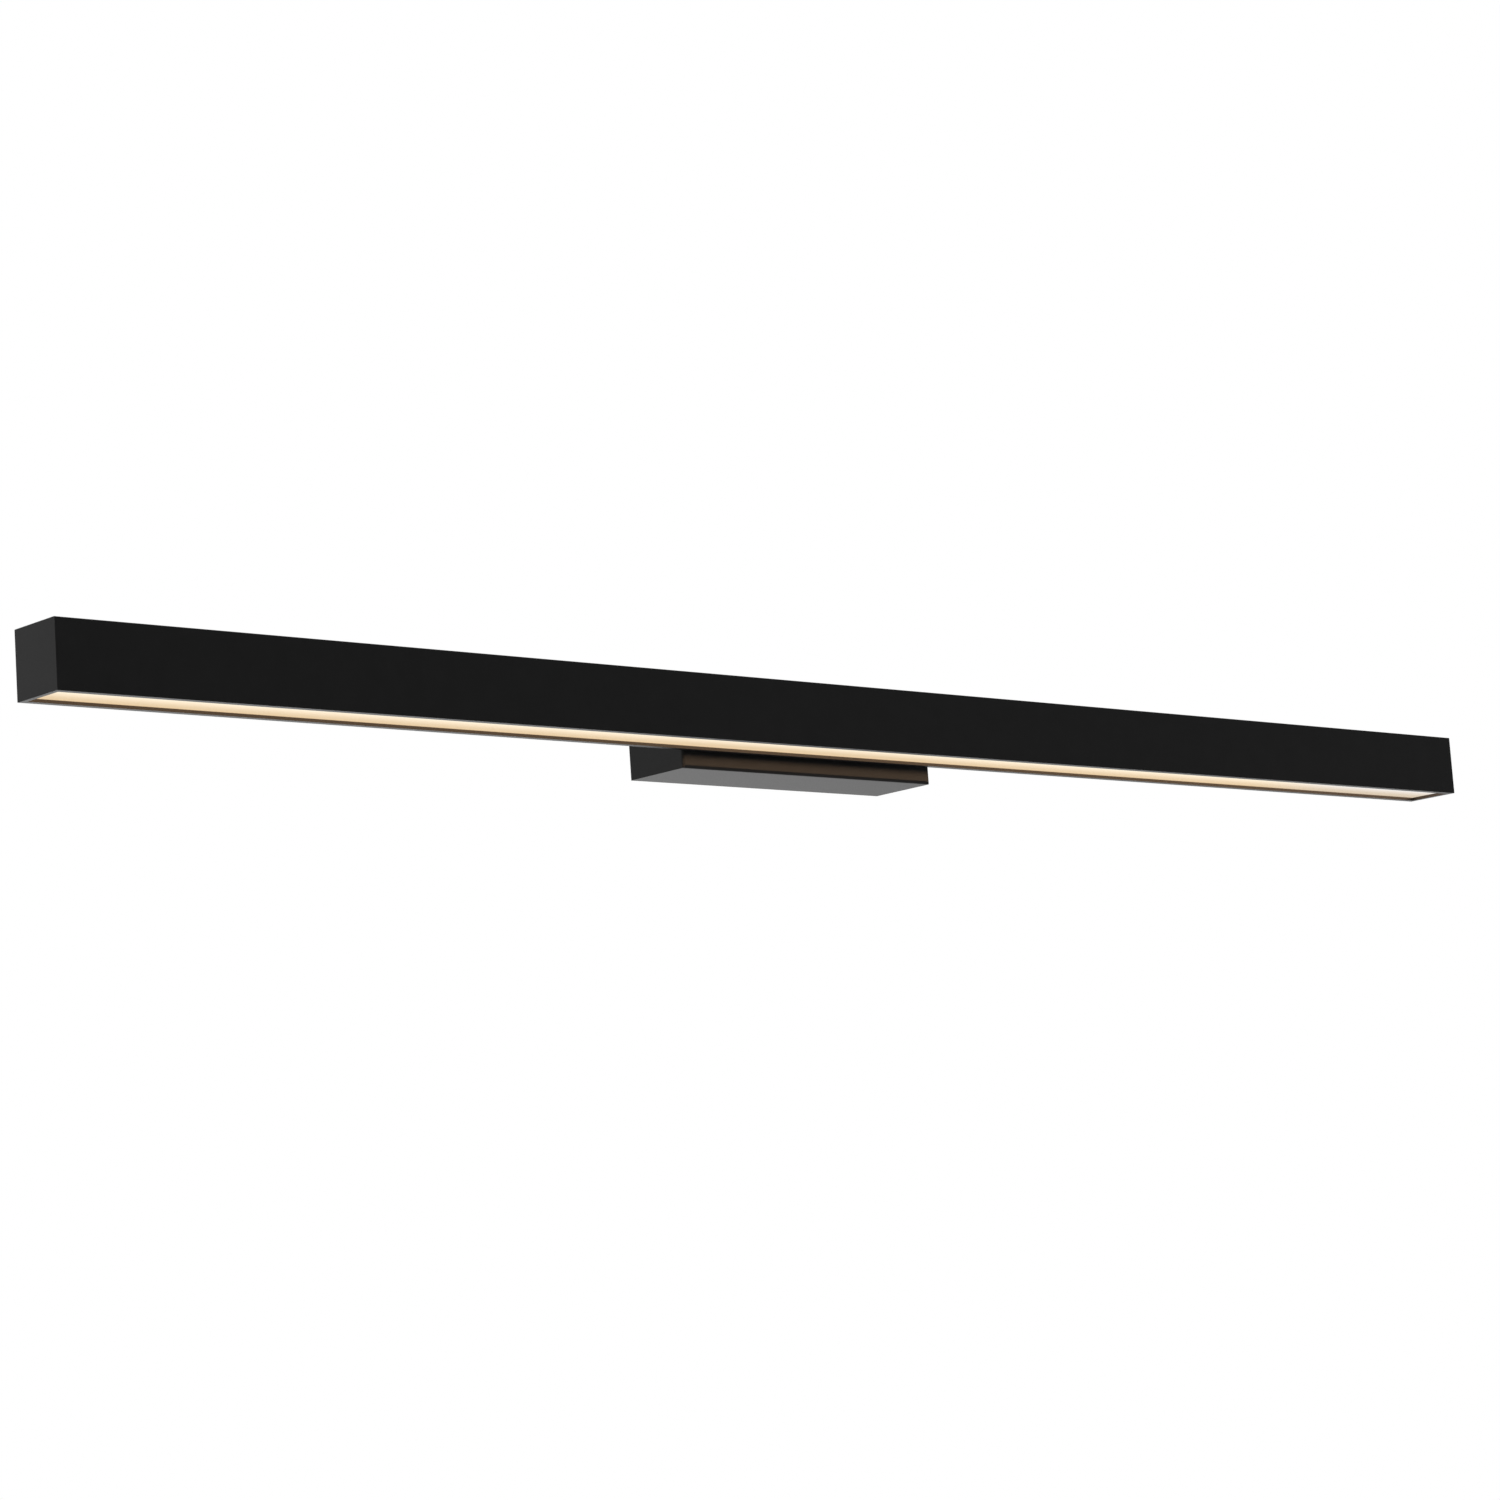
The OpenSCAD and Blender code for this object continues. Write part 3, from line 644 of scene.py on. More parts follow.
def smooth_route(stops, steps=8):
    """Points in metres on the smooth curve that runs through every stop."""
    stops = [mm(*stop) for stop in stops]
    path = []
    for i in range(len(stops) - 1):
        before = stops[max(i - 1, 0)]
        start, end = stops[i], stops[i + 1]
        after = stops[min(i + 2, len(stops) - 1)]
        for k in range(steps):
            t = k / steps
            path.append(0.5 * (
                2 * start + (end - before) * t + (2 * before - 5 * start + 4 * end - after) * t ** 2
                + (3 * start - before - 3 * end + after) * t ** 3))
    return path + [stops[-1]]


def make_lead(name, stops, radius, slot, node):
    """One insulated lead along its stops."""
    piece(name, built(sweep, smooth_route(stops), radius, 16), slot, node)


def make_leads():
    """The feed pair from the driver to the boards, and the leads from the wire nuts."""
    for name, side, slot, node in (
        ("feed_wire_positive", 1, "red_lead", "feed_lead_positive"),
        ("feed_wire_negative", -1, "black_lead", "feed_lead_negative"),
    ):
        stops = [Vector(place) + side * FEED_SPLIT * Vector(apart) for place, apart in FEED]
        make_lead(name, stops, FEED_R, slot, node)
    make_lead("supply_wire_line", LINE, LEAD_R, "black_lead", "supply_lead_line")
    make_lead("supply_wire_neutral", NEUTRAL, LEAD_R, "white_lead", "supply_lead_neutral")
    make_lead("ground_wire", GROUND, FEED_R, "green_lead", "ground_lead")


def make_strands():
    """Twisted bare strands at the end of each supply and ground lead, inside its wire nut."""
    bm = bmesh.new()
    for route in (LINE, NEUTRAL, GROUND):
        end = Vector(route[-1])
        for strand in range(STRANDS):
            path = []
            reach = TWIST_R if strand else 0.0
            for i in range(TWIST_STEPS + 1):
                share = i / TWIST_STEPS
                angle = math.tau * (strand / STRANDS + share)
                y, z = end.y + reach * math.cos(angle), end.z + reach * math.sin(angle)
                path.append(mm(end.x - 1 + share * STRIP_LEN, y, z))
            sweep(bm, path, STRAND_R, 8)
    piece("bare_strands", bm, "copper_winding")


NUT_R = 5.2
NUT_RIBS = 12
NUT_BORE = 12.0
# How far each wire nut is turned about its own axis, in degrees, from the lowest up.
NUT_TURNS = (12, -20, 34)


def make_wire_nuts():
    """Ribbed, winged wire nuts with a spring thread in their mouths, open towards -X."""
    low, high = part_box("wire_nuts")
    rings = [(NUT_BORE, 2.2)] + thread(NUT_BORE - 0.5, 2, 3.3, 1.6, 0.4)
    rings += [(1, 3.6), (0, 4.3), (0, 4.9), (0.4, NUT_R), (5, NUT_R), (5.6, NUT_R - 0.3)]
    for height, radius in ((6.4, 4.8), (10, 4.5), (14, 4.1), (16.6, 3.7), (17.4, 3.3)):
        rings.append((height, ribbed(radius, NUT_RIBS, 0.07)))
    rings.append((18, 2.4))
    nut = built(turned, rings, 6 * NUT_RIBS)

    def taper(corner):
        """Narrows a wing towards its outer edge, and towards the tip of the nut."""
        outer = abs(corner.y) > 5 * MM
        tip = corner.z > 6 * MM
        thickness = 0.6 if outer else 1.0
        reach = 0.8 if outer and tip else 1.0
        return Vector((corner.x * thickness, corner.y * reach, corner.z))

    for side in (-1, 1):
        block(nut, mm(-1, side * 3, 1.5), mm(1, side * 7.2, 11), 0.35, taper)
    first = low.z + NUT_R * MM
    step = (high.z - NUT_R * MM - first) / (len(NUT_TURNS) - 1)
    frames = []
    for i, turn in enumerate(NUT_TURNS):
        where = aim((low.x, (low.y + high.y) / 2, first + i * step), (1, 0, 0))
        frames.append(where @ Matrix.Rotation(math.radians(turn), 4, "Z"))
    piece("winged_wire_nuts", copies(nut, frames), "wire_nut_orange", "wire_nuts")


# ---- LED boards ----

CHIP_COUNT = 24
CHIP_L = 3.5
CHIP_W = 2.8
CHIP_H = 0.8
BOWL_L = 2.7
BOWL_W = 2.1
BOWL_DEPTH = 0.3


def rectangle(bm, length, width, height):
    """Four points of a flat rectangle at a height."""
    corners = ((1, 1), (-1, 1), (-1, -1), (1, -1))
    return [bm.verts.new(mm(x * length / 2, y * width / 2, height)) for x, y in corners]


def stacked(bm, *levels):
    """A closed solid through rectangles of (length, width, height)."""
    skin(bm, [rectangle(bm, *level) for level in levels])


def fillet(corner):
    """Slopes the top of a chip's solder down towards its outer edge."""
    if abs(corner.x) < (CHIP_L / 2 + 0.3) * MM:
        return corner
    return Vector((corner.x, corner.y * 0.8, min(corner.z, 0.05 * MM)))


def make_chips():
    """Each LED is a white package with a bowl of phosphor and a solder fillet at both ends."""
    for i in range(1, len(BOARDS) + 1):
        node = f"led_chips_{i}"
        low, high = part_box(node)
        pitch = (high.x - low.x - CHIP_L * MM) / (CHIP_COUNT - 1)
        middle = (low.y + high.y) / 2
        first = low.x + CHIP_L / 2 * MM
        frames = [aim((first + k * pitch, middle, high.z), (0, 0, -1)) for k in range(CHIP_COUNT)]
        package = built(
            stacked,
            (CHIP_L, CHIP_W, 0),
            (CHIP_L, CHIP_W, CHIP_H - 0.1),
            (CHIP_L - 0.2, CHIP_W - 0.2, CHIP_H),
            (BOWL_L, BOWL_W, CHIP_H),
            (BOWL_L - 0.4, BOWL_W - 0.4, CHIP_H - BOWL_DEPTH),
        )
        phosphor = built(
            stacked,
            (BOWL_L - 0.45, BOWL_W - 0.45, CHIP_H - BOWL_DEPTH + 0.01),
            (BOWL_L - 0.2, BOWL_W - 0.2, CHIP_H - 0.12),
            (BOWL_L - 0.9, BOWL_W - 0.9, CHIP_H - 0.07),
        )
        solder = bmesh.new()
        for side in (-1, 1):
            low_x, high_x = sorted(side * (CHIP_L / 2 + past) for past in (-0.05, 0.55))
            block(solder, mm(low_x, -0.9, 0), mm(high_x, 0.9, 0.35), 0, fillet)
        piece(f"led_packages_{i}", copies(package, frames), "board_white", node)
        piece(f"led_phosphor_{i}", copies(phosphor, frames), "led_phosphor")
        piece(f"led_solder_{i}", copies(solder, frames), "tinned_lug")


RESISTOR_SHARES = (-0.3, -0.1, 0.1, 0.3)


def make_resistors():
    """Chip resistors with tinned ends, four on each LED board."""
    body = built(block, mm(-1.1, -0.75, 0.05), mm(1.1, 0.75, 0.6), 0.06)
    ends = bmesh.new()
    for side in (-1, 1):
        block(ends, mm(side * 1.35 - 0.25, -0.8, 0), mm(side * 1.35 + 0.25, 0.8, 0.64), 0.06)
        block(ends, mm(side * 1.9 - 0.4, -0.8, 0), mm(side * 1.9 + 0.4, 0.8, 0.15), 0.05)
    frames = board_frames(RESISTOR_SHARES, -BOARD_ROW)
    piece("chip_resistors", copies(body, frames), "driver_plastic")
    piece("resistor_ends", copies(ends, frames), "tinned_lug")


TRACK_ROWS = (-7.6, -3.2, 3.2, 7.6)
TRACK_W = 1.4
TRACK_PROUD = 0.07
TRACK_MARGIN = 3.0


def make_tracks():
    """The boards' copper rails, which stand proud of the board under its white mask."""
    tracks = bmesh.new()
    for name in BOARDS:
        low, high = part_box(name)
        middle = (low.y + high.y) / 2
        for row in TRACK_ROWS:
            y = middle + row * MM
            start = Vector((low.x, y, low.z)) + mm(TRACK_MARGIN, -TRACK_W / 2, -TRACK_PROUD)
            end = Vector((high.x, y, low.z)) + mm(-TRACK_MARGIN, TRACK_W / 2, 0.05)
            block(tracks, start, end, 0.03)
    piece("board_tracks", tracks, "board_white")


# Length, width and height of a board connector, and how far it stands from the board's ends.
CONNECTOR = (9.0, 5.0, 4.0)
CONNECTOR_INSET = 6.0
FEED_CONNECTOR_INSET = 7.5
WAY_PITCH = 2.2


def make_connectors():
    """Two-way connectors: a wire hole at both ends of each way, and a release window below it."""
    length, width, height = CONNECTOR
    body = built(block, mm(-length / 2, -width / 2, 0), mm(length / 2, width / 2, height), 0.3)
    cuts = []
    for side in (-1, 1):
        way = side * WAY_PITCH / 2
        for end in (-1, 1):
            low = mm(end * length / 2 - 2.5, way - 0.8, height / 2 - 0.8)
            high = mm(end * length / 2 + 2.5, way + 0.8, height / 2 + 0.8)
            cuts.append(built(block, low, high))
        cuts.append(built(block, mm(-1.2, way - 0.6, height - 0.8), mm(1.2, way + 0.6, height + 1)))
    contact = bmesh.new()
    for side in (-1, 1):
        way = side * WAY_PITCH / 2
        block(contact, mm(-1.1, way - 0.45, height - 1.1), mm(1.1, way + 0.45, height - 0.6), 0.12)
        for end in (-1, 1):
            tail = end * (length / 2 + 0.4)
            block(contact, mm(tail - 0.6, way - 0.4, 0), mm(tail + 0.6, way + 0.4, 0.25), 0.08)
    frames = []
    for i, name in enumerate(BOARDS):
        low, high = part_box(name)
        middle = (low.y + high.y) / 2
        for x in (low.x + CONNECTOR_INSET * MM, high.x - CONNECTOR_INSET * MM):
            frames.append(aim((x, middle - BOARD_ROW * MM, low.z), (0, 0, -1)))
        if i == len(BOARDS) // 2:
            feed = low.x + FEED_CONNECTOR_INSET * MM
            frames.append(aim((feed, middle + BOARD_ROW * MM, low.z), (0, 0, -1)))
    bodies = copies(carved(body, *cuts), frames)
    piece("wire_connectors", bodies, "connector_plastic", "board_connectors")
    piece("connector_contacts", copies(contact, frames), "tinned_lug")


# ---- LED driver ----

# Each capacitor's place along X and Z, its radius and its height, in millimetres.
CANS = ((-14, 4, 5, 12), (-14, -7, 4, 10), (34, 0, 4.5, 11))


def make_capacitors():
    """Cans with a crimped groove, a rolled sleeve edge and a bare top scored with a cross."""
    sleeves = bmesh.new()
    tops = bmesh.new()
    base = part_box("driver_capacitors")[0].y
    board_low, board_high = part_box("driver_board")
    middle = (board_low.z + board_high.z) / 2
    for x, z, radius, height in CANS:
        where = aim((x * MM, base, middle + z * MM), (0, 1, 0))
        turned(sleeves, [
            (0, radius - 0.4), (0, radius - 0.1), (0.3, radius), (1.6, radius),
            (2.0, radius - 0.35), (2.4, radius), (height - 0.4, radius),
            (height - 0.1, radius - 0.25), (height - 0.1, radius - 0.9),
            (height - 0.5, radius - 1.0),
        ], 40, where=where)
        disc = built(turned, [(height - 0.45, radius - 1.0), (height - 0.2, radius - 1.1)], 40)
        arm = radius * 0.6
        scores = [
            built(block, mm(-arm, -0.12, height - 0.3), mm(arm, 0.12, height)),
            built(block, mm(-0.12, -arm, height - 0.3), mm(0.12, arm, height)),
        ]
        copies(carved(disc, *scores), [where], tops)
    piece("capacitor_sleeves", sleeves, "capacitor_sleeve", "driver_capacitors")
    piece("capacitor_tops", tops, "tinned_lug")


COIL_TURNS = 30
COIL_WIRE_R = 0.33


def make_inductor():
    """A dark ferrite ring with a single layer of enamelled wire wound round it."""
    low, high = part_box("driver_inductor")
    wire_r = (high.y - low.y) / 2 / MM
    ring_r = (high.x - low.x) / 2 / MM - wire_r
    where = aim((low + high) / 2, (0, 1, 0))
    half = wire_r - 0.75
    core = built(turned, [
        (-half, ring_r - half + 0.3), (-half, ring_r + half - 0.3), (-half + 0.3, ring_r + half),
        (half - 0.3, ring_r + half), (half, ring_r + half - 0.3), (half, ring_r - half + 0.3),
        (half - 0.3, ring_r - half), (-half + 0.3, ring_r - half),
    ], 48, hollow=True, where=where)
    wire = bmesh.new()
    reach = wire_r - 0.35
    for turn in range(COIL_TURNS):
        spin = Matrix.Rotation(math.tau * (turn + 0.5) / (COIL_TURNS + 2), 4, "Z")
        path = []
        for i in range(20):
            angle = math.tau * i / 20
            radial, axial = math.cos(angle), math.sin(angle)
            lean = 0.25 * axial
            radial = math.copysign(abs(radial) ** 0.5, radial)
            axial = math.copysign(abs(axial) ** 0.5, axial)
            path.append(where @ spin @ mm(ring_r + reach * radial, lean, reach * axial))
        sweep(wire, path, COIL_WIRE_R, 8, closed=True)
    piece("inductor_core", core, "driver_plastic")
    piece("inductor_turns", wire, "copper_winding", "driver_inductor")


WINDING_TURNS = 16
WINDING_R = 0.29
# Width, depth and thickness of each half of the core, and the thickness of its legs.
CORE = (20.0, 12.0, 3.5)
CORE_LEG = 1.6
# Half of the bobbin's width and depth, and the radius of its corners.
BOBBIN = (8.0, 5.0, 1.5)


def make_transformer():
    """Two ferrite halves round a flanged bobbin, with enamelled wire under a band of tape."""
    board_low, board_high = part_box("driver_board")
    low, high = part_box("driver_transformer")
    middle = (board_low.z + board_high.z) / 2
    centre = Vector(((low.x + high.x) / 2, board_high.y + 6 * MM, middle))
    width, depth, thick = CORE
    foot = board_high.y - centre.y
    core = bmesh.new()
    flanges = bmesh.new()

    def slab(bm, x_span, y_span, z_span, soft):
        """A block with X and Y in millimetres from the middle and the board, and Z in metres."""
        (x0, x1), (z0, z1) = sorted(x_span), sorted(z_span)
        start = centre + Vector((x0 * MM, foot + y_span[0] * MM, z0))
        block(bm, start, centre + Vector((x1 * MM, foot + y_span[1] * MM, z1)), soft)

    for side in (-1, 1):
        outer = side * (high.z - middle)
        inner = outer - side * thick * MM
        slab(core, (-width / 2, width / 2), (0, depth), (inner, outer), 0.4)
        for end in (-1, 1):
            leg = (end * width / 2, end * (width / 2 - CORE_LEG))
            slab(core, leg, (2.5, 9.5), (inner, 0.02 * side * MM), 0.2)
        slab(flanges, (-8.3, 8.3), (0.2, 11.6), (inner, inner - side * 0.7 * MM), 0.15)
    half_x, half_y, corner = BOBBIN
    block(flanges, centre + mm(-half_x, -half_y, -5.4), centre + mm(half_x, half_y, 5.4), 0.3)

    def lap(reach):
        """Points of one lap round the bobbin, reach outside it, in millimetres."""
        points = []
        for quarter in range(4):
            for i in range(4):
                angle = math.pi / 2 * (quarter + i / 3)
                x = half_x - corner if quarter in (0, 3) else corner - half_x
                y = half_y - corner if quarter in (0, 1) else corner - half_y
                radius = corner + reach
                points.append((x + radius * math.cos(angle), y + radius * math.sin(angle)))
        return points

    wire = bmesh.new()
    for turn in range(WINDING_TURNS):
        z = -4.4 + 8.8 * turn / (WINDING_TURNS - 1)
        sweep(wire, [centre + mm(x, y, z) for x, y in lap(0.1)], WINDING_R, 8, closed=True)
    band = bmesh.new()
    loops = []
    for reach, z in ((0.3, -2.6), (0.45, -2.6), (0.45, 2.6), (0.3, 2.6)):
        loops.append([band.verts.new(centre + mm(x, y, z)) for x, y in lap(reach)])
    skin(band, loops, closed=True)
    piece("transformer_core", core, "driver_plastic", "driver_transformer")
    piece("transformer_bobbin", flanges, "connector_plastic")
    piece("transformer_winding", wire, "copper_winding")
    piece("transformer_tape_band", band, "transformer_tape")


def on_board(x, z):
    """A frame on the driver board's face, in millimetres from its middle, facing the wall."""
    low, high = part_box("driver_board")
    return aim(((low.x + high.x) / 2 + x * MM, high.y, (low.z + high.z) / 2 + z * MM), (0, 1, 0))


# Each terminal block's middle along X and Z from the board's middle, its length, and the distance
# between its two ways.
TERMINALS = ((-51.5, 0.5, 7, 8.0), (49.5, 1.5, 7, 4.4))
TERMINAL_H = 10.4
TERMINAL_WALL = 2.6
WELL_R = 1.7
WELL_DEPTH = 1.6


def make_terminals():
    """Screw terminals where the supply leads and the feed meet the driver's board."""
    bodies = bmesh.new()
    frames = []
    for x, z, length, spread in TERMINALS:
        where = on_board(x, z)
        centre = where.translation
        half_w = spread / 2 + TERMINAL_WALL
        low = centre + mm(-length / 2, 0, -half_w)
        high = centre + mm(length / 2, TERMINAL_H, half_w)
        body = built(block, low, high, 0.4)
        wells = []
        for side in (-1, 1):
            way = side * spread / 2
            well = [(TERMINAL_H - WELL_DEPTH, WELL_R), (TERMINAL_H + 1, WELL_R)]
            at_way = aim(centre + mm(0, 0, way), (0, 1, 0))
            wells.append(built(turned, well, 24, where=at_way))
            screw_base = TERMINAL_H - WELL_DEPTH - 0.1
            frames.append(aim(centre + mm(0, screw_base, way), (0, 1, 0)))
        copies(carved(body, *wells), [Matrix()], bodies)
    screw = built(turned, [(0, 1.6), (0.7, 1.6), (0.9, 1.4)], 24)
    slot = built(block, mm(-2, -0.25, 0.4), mm(2, 0.25, 2))
    piece("terminal_blocks", bodies, "connector_plastic")
    piece("terminal_screws", copies(carved(screw, slot), frames), "zinc_steel")


LEG_R = 0.3
SINK_FINS = 6
AXIAL_H = 1.4
# Axial parts on the board: middle along X and Z, and half of the distance between their legs.
AXIAL_PARTS = (
    (-25, -10.5, 5.5), (-4, 8.5, 4), (-4, 5, 4), (29, 9, 5), (28.5, -8, 5), (41, -9, 5.5),
    (40.5, 9, 5),
)


def make_small_parts():
    """Resistors and diodes on bent legs, a rectifier, a film capacitor and a finned heat sink."""
    bodies = bmesh.new()
    legs = bmesh.new()
    for x, z, reach in AXIAL_PARTS:
        where = on_board(x, z)
        along = where @ Matrix.Translation(mm(0, 0, AXIAL_H)) @ Matrix.Rotation(math.pi / 2, 4, "Y")
        half = reach - 2
        rings = [(-half, 0.5), (-half + 0.2, 1.05), (-half + 0.9, 1.15), (-half + 1.2, 0.95)]
        rings += [(half - 1.2, 0.95), (half - 0.9, 1.15), (half - 0.2, 1.05), (half, 0.5)]
        turned(bodies, rings, 20, where=along)
        for side in (-1, 1):
            path = []
            for out, up in (
                (half - 0.1, AXIAL_H), (reach - 0.7, AXIAL_H), (reach - 0.2, AXIAL_H - 0.2),
                (reach, AXIAL_H / 2), (reach, -0.05),
            ):
                path.append(where @ mm(side * out, 0, up))
            sweep(legs, path, LEG_R, 8)
            foot = where @ Matrix.Translation(mm(side * reach, 0, 0))
            turned(legs, [(-0.02, 0.8), (0.15, 0.6), (0.4, 0.32)], 12, where=foot)
    rectifier = on_board(-46, -10).translation
    block(bodies, rectifier + mm(-2.5, 0.4, -1.6), rectifier + mm(4.5, 6.4, 1.2), 0.3)
    for i in range(4):
        path = [rectifier + mm(-1.6 + 1.7 * i, depth, -0.2) for depth in (-0.05, 0.8)]
        sweep(legs, path, LEG_R, 8)
    centre = on_board(-46, 11).translation
    film = built(block, centre + mm(3, 0.2, -1.7), centre + mm(14, 9, 1.8), 0.5)
    sink = bmesh.new()
    base = on_board(30, -11).translation
    block(sink, base + mm(-9, 0.1, -0.9), base + mm(7, 12, 0.1), 0.15)
    for i in range(SINK_FINS):
        fin = -8.5 + 2.9 * i
        block(sink, base + mm(fin, 0.1, 0), base + mm(fin + 0.7, 12, 1.6), 0.15)
    piece("board_components", bodies, "driver_plastic")
    piece("component_legs", legs, "tinned_lug")
    piece("film_capacitor", film, "transformer_tape")
    piece("heat_sink", sink, "zinc_steel")


LID_SCREW_INSET = 4.0
LID_RIBS = 9
LID_RIB_PITCH = 2.6
# How far the rim stays from the lid's ends and sides, and the ribs and the plate from the rim.
RIM_END_GAP = 8.5
RIM_SIDE_GAP = 2
RIB_GAP = 4
# The blank plate's two ends, from the rim's left end.
PLATE_ENDS = (6, 60)
# The rim's section: how far in from its outer edge, and how far proud of the lid, in millimetres.
RIM = ((0, -0.5), (0, 0.35), (0.15, 0.5), (0.65, 0.5), (0.8, 0.35), (0.8, -0.5))


def make_lid():
    """Raised rim and cooling ribs on the driver's lid, a blank riveted plate, and four screws."""
    low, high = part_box("driver_lid")
    back = high.y
    rim = bmesh.new()
    left, right = low.x + RIM_END_GAP * MM, high.x - RIM_END_GAP * MM
    bottom, top = low.z + RIM_SIDE_GAP * MM, high.z - RIM_SIDE_GAP * MM
    proud = 0.5 * MM
    length, width = (right - left) / MM, (top - bottom) / MM
    loops = [rectangle(rim, length - 2 * d, width - 2 * d, height) for d, height in RIM]
    skin(rim, loops, closed=True)
    rim = copies(rim, [aim(((left + right) / 2, back, (bottom + top) / 2), (0, 1, 0))])
    for i in range(LID_RIBS):
        x = right - (6 + LID_RIB_PITCH * i) * MM
        low_end = (x - 0.6 * MM, back - proud, bottom + RIB_GAP * MM)
        block(rim, low_end, (x + 0.6 * MM, back + proud, top - RIB_GAP * MM), 0.2)
    piece("driver_lid_ribs", rim, "driver_plastic")
    plate = bmesh.new()
    plate_left, plate_right = (left + end * MM for end in PLATE_ENDS)
    low_corner = (plate_left, back - 0.1 * MM, bottom + RIB_GAP * MM)
    block(plate, low_corner, (plate_right, back + 0.3 * MM, top - RIB_GAP * MM), 0.1)
    middle = (bottom + top) / 2
    for x in (plate_left + 3 * MM, plate_right - 3 * MM):
        rivet = aim((x, back + 0.28 * MM, middle), (0, 1, 0))
        turned(plate, [(0, 1.2), (0.15, 1.15), (0.35, 0.85), (0.45, 0.4)], 20, where=rivet)
    piece("driver_blank_plate", plate, "zinc_steel")
    shape = pan_screw(1.0, 3.0, FINE_PITCH, 1.9, 1.2, 0.6)
    edge = LID_SCREW_INSET * MM
    frames = []
    for x in (low.x + edge, high.x - edge):
        for z in (low.z + edge, high.z - edge):
            frames.append(aim((x, back - 0.02 * MM, z), (0, 1, 0)))
    piece("driver_lid_screws", copies(shape, frames), "zinc_steel")


def make_reliefs():
    """Stepped rubber reliefs round the leads where they leave the driver's case."""
    low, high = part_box("driver_lid")
    bm = bmesh.new()
    for x, side, (_, y, z), bore in (
        (low.x, -1, LINE[0], LEAD_R),
        (low.x, -1, NEUTRAL[0], LEAD_R),
        (high.x, 1, FEED[0][0], FEED_R + FEED_SPLIT),
    ):
        rings = [(-0.2, bore + 1.6), (1.0, bore + 1.6), (1.2, bore + 1.1)]
        rings += [(2.0, bore + 1.0), (2.2, bore + 1.3), (2.8, bore + 1.3), (3.0, bore + 0.9)]
        rings += [(3.8, bore + 0.8), (4.0, bore + 0.6), (4.0, bore + 0.05), (-0.2, bore + 0.05)]
        turned(bm, rings, hollow=True, where=aim((x, y * MM, z * MM), (side, 0, 0)))
    piece("lead_reliefs", bm, "grommet_rubber")


# ---- Stage, light and camera ----

# The floor lies well below the light, and fades into the surround from FLOOR_FADE to FLOOR_R.
FLOOR_Z = -2.0
FLOOR_R = 8.0
FLOOR_FADE = 3.0


def make_floor():
    """A plain pale floor that has no visible rim."""
    bm = bmesh.new()
    bmesh.ops.create_circle(bm, cap_ends=True, segments=96, radius=FLOOR_R)
    floor = loose_object(bm, "floor")
    floor.location.z = FLOOR_Z
    floor.visible_glossy = False
    mat, tree, shader = new_material("floor")
    vary(tree, shader, "Base Color", noise(tree, 1.5), 0.86, 0.88)
    shader.inputs["Roughness"].default_value = 0.8
    reach = add_node(tree, "ShaderNodeVectorMath", operation="LENGTH", Vector=object_place(tree))
    solid = remap(tree, reach.outputs["Value"], (FLOOR_FADE, FLOOR_R, 1.0, 0.0), smooth=True)
    tree.links.new(solid, shader.inputs["Alpha"])
    floor.data.materials.append(mat)


# How bright the studio is on the viewer's side, low down, and behind the object at left and right.
ROOM_FRONT = 0.14
ROOM_BELOW = 0.13
ROOM_BACK_LEFT = 0.23
ROOM_BACK_RIGHT = 1.05
# The far right of the studio is this much dimmer than what is next to it.
ROOM_CORNER = 0.75


def make_room():
    """White to the camera; as light, bright behind the object and dim in front of it."""
    world = bpy.data.worlds.new("studio")
    bpy.context.scene.world = world
    world.use_nodes = True
    tree = world.node_tree
    shader = tree.nodes["Background"]
    shader.inputs["Color"].default_value = (1, 1, 1, 1)
    sky = add_node(tree, "ShaderNodeTexCoord").outputs["Generated"]
    toward = add_node(tree, "ShaderNodeSeparateXYZ", Vector=sky)
    rightward = remap(tree, toward.outputs["X"], (-0.9, 0.45, 0.0, 1.0), smooth=True)
    back = mix_value(tree, rightward, ROOM_BACK_LEFT, ROOM_BACK_RIGHT)
    corner = remap(tree, toward.outputs["X"], (0.62, 0.72, 1.0, ROOM_CORNER), smooth=True)
    backdrop = add_node(tree, "ShaderNodeMath", operation="MULTIPLY")
    tree.links.new(back, backdrop.inputs[0])
    tree.links.new(corner, backdrop.inputs[1])
    behind = remap(tree, toward.outputs["Y"], (-0.35, 0.6, 0.0, 1.0))
    level = mix_value(tree, behind, ROOM_FRONT, backdrop.outputs["Value"])
    beneath = remap(tree, toward.outputs["Z"], (-0.3, -0.55, 0.0, 1.0), smooth=True)
    level = mix_value(tree, beneath, level, ROOM_BELOW)
    seen = add_node(tree, "ShaderNodeLightPath").outputs["Is Camera Ray"]
    tree.links.new(mix_value(tree, seen, level, 1.0), shader.inputs["Strength"])


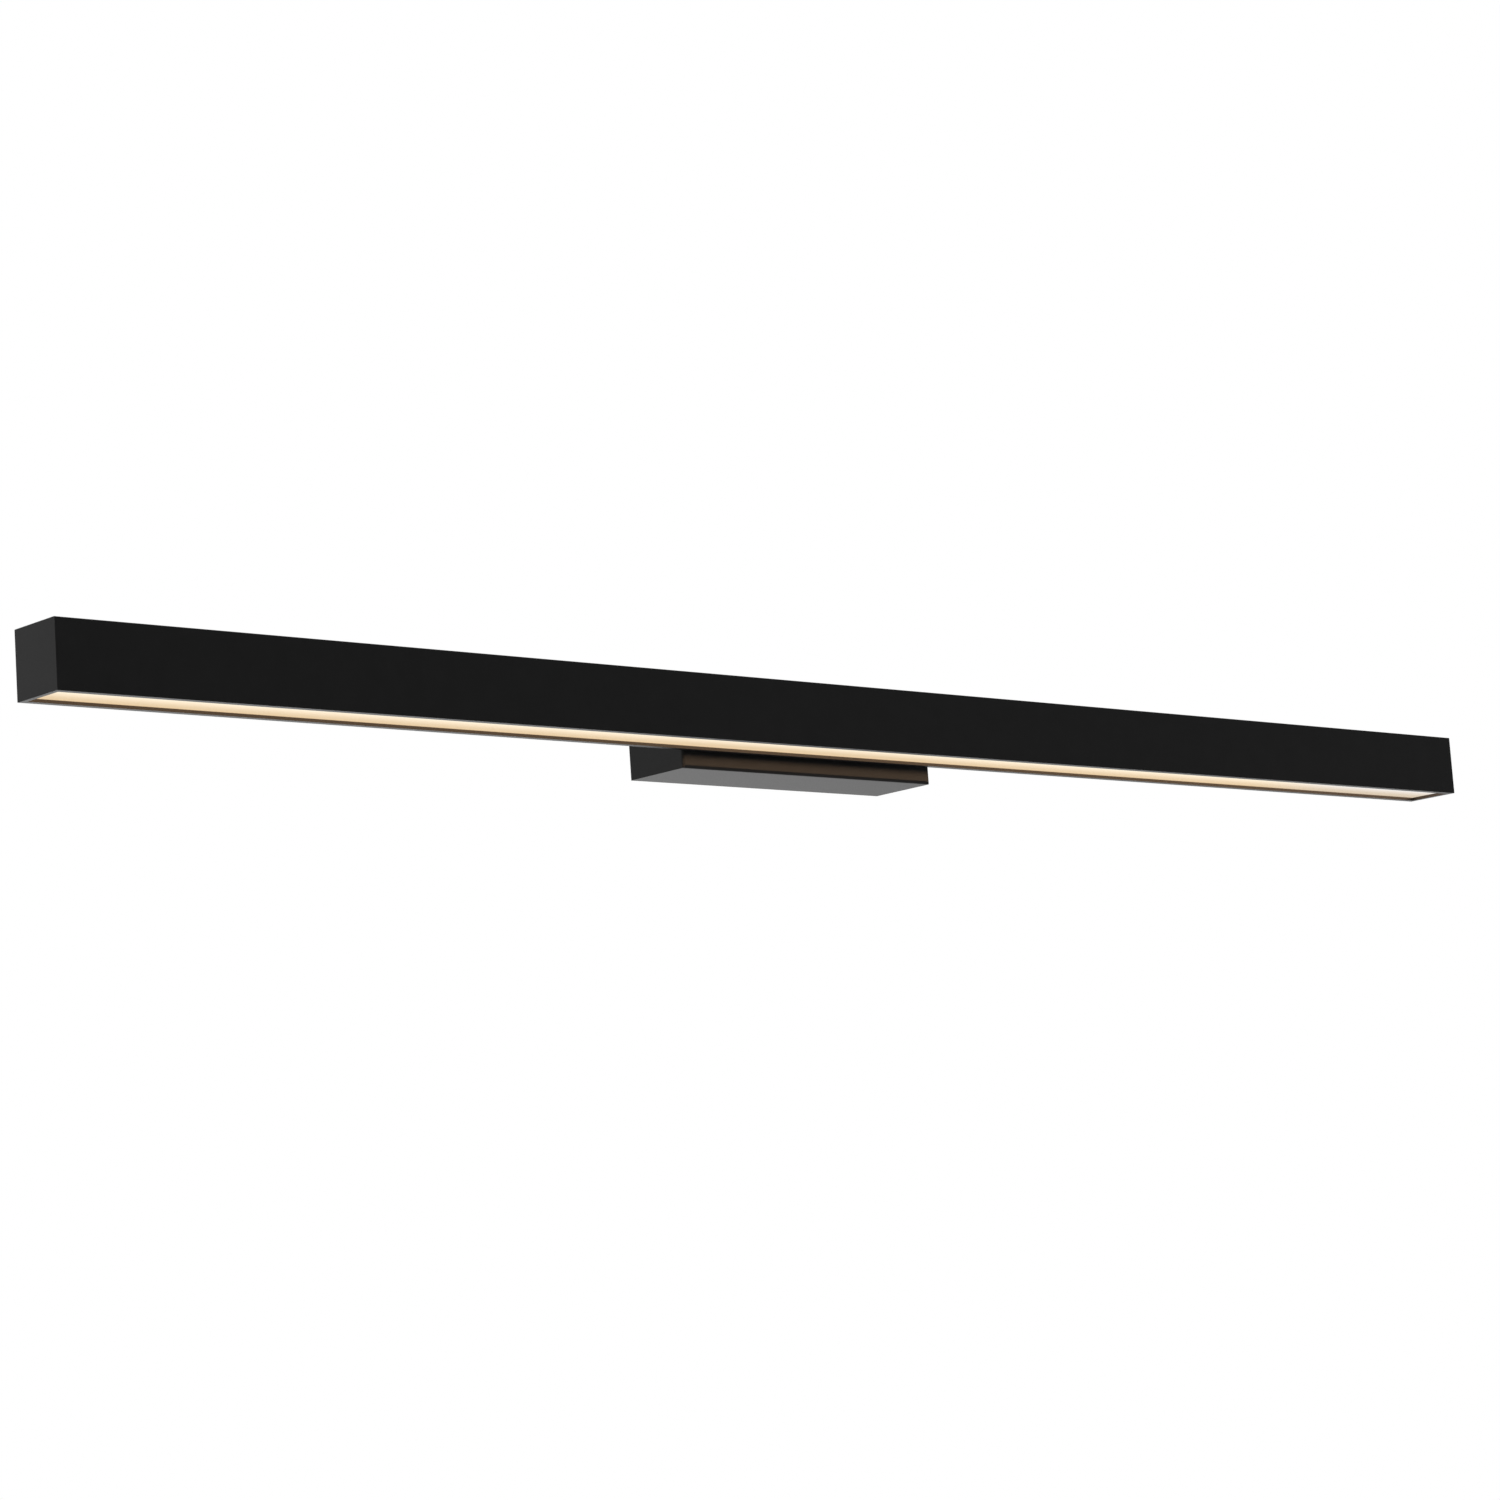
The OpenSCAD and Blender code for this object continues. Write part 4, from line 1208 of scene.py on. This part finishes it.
OVERHEAD_POWER = 1.5
OVERHEAD_SPREAD = math.radians(80)
STRIP_POWER = 0.21
STRIP_COLOR = (1.0, 0.56, 0.30)
STRIP_DROP = 0.05 * MM


def add_lamp(name, kind, power):
    data = bpy.data.lights.new(name, kind)
    data.energy = power
    return add_object(name, data)


def make_lights():
    """A wide soft light from straight above, and the strip's warm throw under the diffuser."""
    add_lamp("overhead", "SUN", OVERHEAD_POWER).data.angle = OVERHEAD_SPREAD
    low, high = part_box("diffuser")
    lamp = add_lamp("strip_glow", "AREA", STRIP_POWER)
    lamp.data.shape = "RECTANGLE"
    lamp.data.size = high.x - low.x
    lamp.data.size_y = high.y - low.y
    lamp.data.color = STRIP_COLOR
    lamp.location = ((low.x + high.x) / 2, (low.y + high.y) / 2, low.z - STRIP_DROP)
    lamp.visible_camera = False


# The camera stands low, in front of the bar's left end and well to its left, and looks up at it.
CAMERA_PLACE = Vector((-1.8479, -2.0500, -0.4443))
CAMERA_TURN = math.radians(-41.968)
CAMERA_TILT = math.radians(9.054)
CAMERA_ROLL = math.radians(3.939)
CAMERA_LENS = 99.91
CAMERA_SENSOR = 36.0


def make_camera():
    """Turned about the vertical, tilted up, then rolled about its own line of sight."""
    data = bpy.data.cameras.new("camera")
    data.lens = CAMERA_LENS
    data.sensor_width = CAMERA_SENSOR
    data.clip_end = 100
    camera = add_object("camera", data)
    camera.matrix_world = (
        Matrix.Translation(CAMERA_PLACE)
        @ Matrix.Rotation(CAMERA_TURN, 4, "Z")
        @ Matrix.Rotation(CAMERA_TILT, 4, "X")
        @ Matrix.Rotation(CAMERA_ROLL, 4, "Y")
        @ Matrix.Rotation(math.radians(90), 4, "X")
    )
    bpy.context.scene.camera = camera


bpy.context.scene.view_settings.view_transform = "Standard"
for make in (
    make_camera, make_floor, make_room, make_lights, finish_cad_nodes,
    make_set_screws, make_board_screws, make_bolts, make_nuts, make_ground_screw,
    make_leads, make_strands, make_wire_nuts,
    make_chips, make_resistors, make_tracks, make_connectors,
    make_capacitors, make_inductor, make_transformer, make_terminals, make_small_parts,
    make_lid, make_reliefs,
):
    make()
